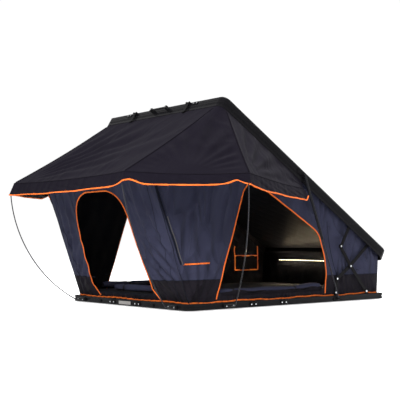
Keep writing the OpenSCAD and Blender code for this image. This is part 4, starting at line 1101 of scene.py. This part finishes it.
class TENT_OT_door_rolls(bpy.types.Operator):
    """Builds the rolled door flaps that lie inside the doors, with their ties"""
    bl_idname = "tent.door_rolls"
    bl_label = "Door rolls"

    def execute(self, context):
        settings = context.scene.tent_cloth
        radius = 0.030
        length = 1.190
        ties = (-0.28, 0.26)
        pile = Pile()
        for number, (_, side) in enumerate(SIDES):
            middle = np.array([-0.2500, side * 0.6320, 0.1349])
            amount = 0.85 if side < 0 else 0.35
            roll = roll_points(length, radius, 5 + number, ties)
            self.put(pile, slouch(roll, length, radius, amount), middle)
            for spot in ties:
                band = np.array([length * spot, 0.0, 0.0]) + self.hoop(0.0225, (1.0, 0.0, 0.0))
                self.tie(pile, slouch(band, length, radius, amount) + middle)
            self.apron(pile, side, 41 + number, 0.046 - 0.013 * amount)
        middle = np.array([-0.935, 0.0, 0.1310])
        across = roll_points(0.62, 0.026, 9, (-0.3, 0.3))[..., [1, 0, 2]] * np.array([-1.0, 1.0, 1.0])
        self.put(pile, across, middle)
        for spot in (-0.186, 0.186):
            self.tie(pile, middle + np.array([0.0, spot, 0.0]) + self.hoop(0.021, (0.0, 1.0, 0.0)))
        obj = pile.build("rolled_door_flaps", [
            cloth_material("roll_canvas", settings.canvas, stain=0.3, band=settings.band),
            cloth_material("roll_tie", (0.012, 0.012, 0.014)),
        ], "base", "door_rolls")
        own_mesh(obj)
        return {"FINISHED"}

    def apron(self, pile, side, seed, least):
        """The slack part of a door between its sill and its roll."""
        x, v = np.meshgrid(np.linspace(-0.755, 0.357, 240), shares(16))
        high = least + 0.022 * ease(-0.45, -0.74, x) + 0.014 * ease(0.12, 0.34, x)
        z = 0.078 + v * (high + 0.006 * waves(x, 0.0 * v, seed, 0.12, 0.45))
        y = side * (0.6605 - 0.002 * v + 0.0014 * np.sin(math.pi * v) * waves(x, z, seed + 2, 0.05, 0.2))
        pile.cloth(joined(x, y, z), joined(x, z), MAIN, MAIN, 0.0012, flip=side > 0)

    def put(self, pile, points, middle):
        """Adds a roll with its two ends closed. The dark band of its cloth shows below a wandering edge."""
        run = points[..., 0] + points[..., 1]
        edge = 0.017 + 0.010 * np.sin(9.0 * run + 1.0) + 0.006 * np.sin(23.0 * run)
        pile.solid(points + middle, joined(run, points[..., 2] + BAND_Z + edge), MAIN, ring=True)
        for row, flip in ((0, True), (-1, False)):
            ring = points[row]
            disc = lerp(ring, ring.mean(axis=0), np.array([0.0, 0.5, 0.97])[:, None, None])
            pile.solid(disc + middle, disc[..., 1:], MAIN, ring=True, flip=flip)

    def hoop(self, radius, axis):
        """A closed circle about the axis."""
        turn = np.linspace(0.0, 2.0 * math.pi, 33)[:, None]
        level = np.cross(UP, np.array(axis))
        return radius * (np.cos(turn) * level + np.sin(turn) * UP)

    def tie(self, pile, band):
        """A webbing band round a roll."""
        spokes = unit(band - band[:-1].mean(axis=0))
        pile.tape(band, spokes, 0.010, 0.0018, SECOND)


class TENT_OT_ceiling(bpy.types.Operator):
    """Builds the quilted lining under the roof"""
    bl_idname = "tent.ceiling"
    bl_label = "Ceiling"

    def execute(self, context):
        half_x, half_y = 0.9975, 0.6475
        x, y = np.meshgrid(np.linspace(-half_x, half_x, 260), np.linspace(-half_y, half_y, 170))
        one = np.abs(np.sin(math.pi * (x + y) / QUILT))
        two = np.abs(np.sin(math.pi * (x - y) / QUILT))
        edge = ease(0.0, 0.02, half_x - np.abs(x)) * ease(0.0, 0.02, half_y - np.abs(y))
        puff = 0.0015 * (np.minimum(one, two) ** 0.5) * edge
        flat = joined(x, y)
        coarse = flat[::10, ::10]
        pile = Pile()
        pile.solid(shell_point(x, y, 0.0745 - puff), flat, MAIN, flip=True)
        pile.solid(shell_point(coarse[..., 0], coarse[..., 1], 0.0795), coarse, MAIN)
        lining = coat_material("liner_cloth", (0.0052, 0.0053, 0.0068), 0.42, gloss=0.008)
        obj = pile.build("quilted_ceiling", [lining], "shell", "ceiling_liner")
        return {"FINISHED"}


class TENT_OT_light_strip(bpy.types.Operator):
    """Builds the light strip on the foot wall"""
    bl_idname = "tent.light_strip"
    bl_label = "Light strip"

    def execute(self, context):
        span = float(np.linalg.norm(REAR_TOP - REAR_BOTTOM))
        spot = lerp(REAR_BOTTOM, REAR_TOP, (span - 0.075) / span) - np.array([0.0165, 0.0])
        y = np.linspace(-0.45, 0.45, 181)
        path = joined(spot[0], y, spot[1] + 0.002 * np.sin(5.0 * y))
        facing = np.array([-1.0, 0.0, 0.0])
        pile = Pile()
        pile.tape(path - np.array([0.0016, 0.0, 0.0]), facing, 0.0024, 0.0009, MAIN)
        pile.tape(path + np.array([0.0012, 0.0, 0.0]), facing, 0.0050, 0.0016, SECOND)
        obj = pile.build("lit_strip", [
            lamp_material("led_lens", (1.0, 0.80, 0.52), context.scene.tent_stage.strip),
            coat_material("strip_back", (0.008, 0.008, 0.009), 0.5, gloss=0.1),
        ], "base", "led_strip")
        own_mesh(obj)
        return {"FINISHED"}


# Finishes of the CAD nodes: colour, roughness, metal, grain, scale of the grain and gloss

FINISHES = {
    "black_rail": ((0.0056, 0.0053, 0.0064), 0.26, 0.0, 0.08, 500.0, 0.055),
    "black_fitting": ((0.0045, 0.0042, 0.0050), 0.28, 0.0, 0.08, 400.0, 0.04),
    "black_plastic": ((0.009, 0.009, 0.010), 0.45, 0.0, 0.20, 250.0, 0.15),
    "bare_steel": ((0.55, 0.56, 0.58), 0.28, 1.0, 0.05),
    "strut_black": ((0.006, 0.006, 0.008), 0.28, 0.0, 0.05, 400.0, 0.1),
    "mount_aluminium": ((0.62, 0.63, 0.64), 0.35, 1.0, 0.08),
    "floor_board": ((0.035, 0.034, 0.033), 0.60, 0.0, 0.15, 120.0, 0.3),
    "seal_rubber": ((0.008, 0.008, 0.008), 0.75, 0.0, 0.10, 300.0, 0.1),
}


def finish(slot):
    """The finish of a record slot that CAD nodes show."""
    return coat_material(slot, *FINISHES[slot])


class TENT_OT_metalwork(bpy.types.Operator):
    """Gives the CAD nodes their finishes"""
    bl_idname = "tent.metalwork"
    bl_label = "Metalwork"

    def execute(self, context):
        # Bare steel of the poles and strut rods, made near black: the dark colour is a painted reflection
        # of dark surroundings.
        poles = coat_material("pole_steel", (0.024, 0.024, 0.028), 0.30, 1.0, 0.05)
        plate = coat_material("brushed_plate", (0.27, 0.26, 0.25), 0.42, 1.0, 0.20)
        for part in frame["record"]["subparts"]:
            name, slot = part["node"], part["material_slot"]
            if slot not in FINISHES:
                continue
            if name == "front_plate":
                coat = plate
            elif name.startswith(("pole_front", "pole_side", "strut_rods")):
                coat = poles
            else:
                coat = finish("black_fitting" if name == "latch_keepers" else slot)
            materials = frame["nodes"][name].data.materials
            materials.clear()
            materials.append(coat)
        return {"FINISHED"}


# Stage


class TENT_OT_stage(bpy.types.Operator):
    """Sets the camera, the floor, the lights and the white surroundings"""
    bl_idname = "tent.stage"
    bl_label = "Stage"

    def execute(self, context):
        settings = context.scene.tent_stage
        self.camera(context.scene)
        self.floor(context.scene)
        self.surroundings(context.scene, settings)
        self.lamp(context.scene, "key_light", (-5.5, -3.4, 4.2), 2.4, settings.key)
        self.lamp(context.scene, "top_light", (0.6, 0.4, 6.0), 4.5, settings.top)
        self.lamp(context.scene, "side_light", (4.0, -0.2, 5.2), 2.4, settings.side)
        return {"FINISHED"}

    def camera(self, scene):
        """A long lens at the front left, a little above the base."""
        data = bpy.data.cameras.new("camera")
        data.lens = 76.26
        data.sensor_width = 36.0
        data.clip_end = 200.0
        camera = bpy.data.objects.new("camera", data)
        camera.location = (-4.732, -5.122, 0.463)
        camera.rotation_euler = (math.radians(92.95), 0.0, math.radians(-40.58))
        scene.collection.objects.link(camera)
        scene.camera = camera

    def seen(self, tree):
        """1 for what the camera sees directly, in a reflection or through glass, and 0 for light."""
        rays = node(tree, "LightPath").outputs
        mirrored = calc(tree, "MAXIMUM", rays["Is Camera Ray"], rays["Is Glossy Ray"])
        return calc(tree, "MAXIMUM", mirrored, rays["Is Transmission Ray"])

    def floor(self, scene):
        """A wide pale floor that keeps the shadow."""
        reach = 60.0
        corners = [(-reach, -reach, 0.0), (reach, -reach, 0.0), (reach, reach, 0.0), (-reach, reach, 0.0)]
        mesh = bpy.data.meshes.new("floor")
        mesh.from_pydata(corners, [], [(0, 1, 2, 3)])
        floor = bpy.data.objects.new("floor", mesh)
        scene.collection.objects.link(floor)
        material, tree, shader = new_material("pale_floor")
        feed(tree, shader, {
            "Base Color": (0.9, 0.9, 0.9, 1.0), "Roughness": 0.9, "Specular IOR Level": 0.0,
            "Emission Color": (1.0, 1.0, 1.0, 1.0),
            "Emission Strength": calc(tree, "MULTIPLY", self.seen(tree), 0.7)})
        mesh.materials.append(material)

    def surroundings(self, scene, settings):
        """White where the camera looks past the object, and a soft light from above elsewhere."""
        world = bpy.data.worlds.new("studio")
        scene.world = world
        world.use_nodes = True
        tree = world.node_tree
        tree.nodes.clear()
        height = axis_of(tree, node(tree, "TexCoord").outputs["Generated"], "Z")
        strength = remap(tree, height, 0.40 * settings.soft, 1.60 * settings.soft, -0.05, 0.75,
                         interpolation_type="SMOOTHSTEP")
        soft = node(tree, "Background", {"Color": (0.97, 0.98, 1.0, 1.0), "Strength": strength})
        shown = node(tree, "Background", {"Color": (1.0, 1.0, 1.0, 1.0), "Strength": 1.02})
        pick = node(tree, "MixShader", {0: self.seen(tree), 1: soft, 2: shown})
        node(tree, "OutputWorld", {"Surface": pick})
        scene.view_settings.view_transform = "Standard"

    def lamp(self, scene, name, place, size, power):
        """A square soft light that faces the middle of the tent."""
        data = bpy.data.lights.new(name, "AREA")
        data.size = size
        data.energy = power
        lamp = bpy.data.objects.new(name, data)
        lamp.location = place
        aim = unit(np.array([-0.2, 0.0, 0.6]) - np.array(place))
        lamp.rotation_euler = (math.acos(-aim[2]), 0.0, math.atan2(aim[1], aim[0]) - math.pi / 2)
        scene.collection.objects.link(lamp)


class TENT_PG_cloth(bpy.types.PropertyGroup):
    """Sizes and colours of the cloth"""
    folds: bpy.props.FloatProperty(
        name="Fold depth", description="How deep the folds and creases are, 1 as drawn",
        default=1.0, min=0.0, max=1.5, subtype="FACTOR")
    cloth: bpy.props.FloatProperty(
        name="Cloth thickness", description="Thickness of the canvas and of the fly",
        default=0.0012, unit="LENGTH")
    binding: bpy.props.FloatProperty(
        name="Binding width", description="Width of the bright binding", default=0.011, unit="LENGTH")
    canvas: bpy.props.FloatVectorProperty(
        name="Canvas", description="Colour of the walls and of the rolled doors",
        default=(0.0298, 0.0312, 0.0572), subtype="COLOR", min=0.0, max=1.0)
    band: bpy.props.FloatVectorProperty(
        name="Lower band", description="Colour of the band at the foot of the walls",
        default=(0.0086, 0.0070, 0.0106), subtype="COLOR", min=0.0, max=1.0)
    fly: bpy.props.FloatVectorProperty(
        name="Fly", description="Colour of the fly's outer face",
        default=(0.0086, 0.0073, 0.0118), subtype="COLOR", min=0.0, max=1.0)
    trim: bpy.props.FloatVectorProperty(
        name="Binding", description="Colour of the bright binding",
        default=(0.81, 0.16, 0.023), subtype="COLOR", min=0.0, max=1.0)
    inside: bpy.props.FloatVectorProperty(
        name="Inner face", description="Colour of the inner face of the walls",
        default=(0.0054, 0.0056, 0.0074), subtype="COLOR", min=0.0, max=1.0)


class TENT_PG_stage(bpy.types.PropertyGroup):
    """Light of the stage"""
    soft: bpy.props.FloatProperty(
        name="Soft light", description="Strength of the even light from all round", default=0.38, min=0.0)
    key: bpy.props.FloatProperty(
        name="Key light", description="Power of the light at the front left", default=540.0, unit="POWER")
    top: bpy.props.FloatProperty(
        name="Top light", description="Power of the light above", default=220.0, unit="POWER")
    side: bpy.props.FloatProperty(
        name="Side light", description="Power of the light above the foot end", default=360.0, unit="POWER")
    strip: bpy.props.FloatProperty(
        name="Strip light", description="Strength of the tent's own light strip", default=3000.0, min=0.0)


STEPS = (
    TENT_OT_stage, TENT_OT_metalwork, TENT_OT_side_walls, TENT_OT_front_wall, TENT_OT_rear_wall,
    TENT_OT_fly, TENT_OT_mattress, TENT_OT_door_rolls, TENT_OT_ceiling, TENT_OT_light_strip)


class TENT_PT_panel(bpy.types.Panel):
    """Lists the settings and the steps"""
    bl_idname = "TENT_PT_panel"
    bl_label = "Roof top tent"
    bl_space_type = "VIEW_3D"
    bl_region_type = "UI"
    bl_category = "Tent"

    def draw(self, context):
        layout = self.layout
        for name in ("folds", "cloth", "binding", "canvas", "band", "fly", "trim", "inside"):
            layout.prop(context.scene.tent_cloth, name)
        for name in ("soft", "key", "top", "side", "strip"):
            layout.prop(context.scene.tent_stage, name)
        for step in STEPS:
            layout.operator(step.bl_idname)


CLASSES = (TENT_PG_cloth, TENT_PG_stage, *STEPS, TENT_PT_panel)


def register():
    """Registers the add-on."""
    for item in CLASSES:
        bpy.utils.register_class(item)
    bpy.types.Scene.tent_cloth = bpy.props.PointerProperty(type=TENT_PG_cloth)
    bpy.types.Scene.tent_stage = bpy.props.PointerProperty(type=TENT_PG_stage)


def unregister():
    """Takes the add-on out again."""
    del bpy.types.Scene.tent_stage
    del bpy.types.Scene.tent_cloth
    for item in reversed(CLASSES):
        bpy.utils.unregister_class(item)


def main():
    """Builds everything in order."""
    register()
    bpy.ops.tent.stage()
    bpy.ops.tent.metalwork()
    bpy.ops.tent.side_walls()
    bpy.ops.tent.front_wall()
    bpy.ops.tent.rear_wall()
    bpy.ops.tent.fly()
    bpy.ops.tent.mattress()
    bpy.ops.tent.door_rolls()
    bpy.ops.tent.ceiling()
    bpy.ops.tent.light_strip()


if __name__ == "__main__":
    main()
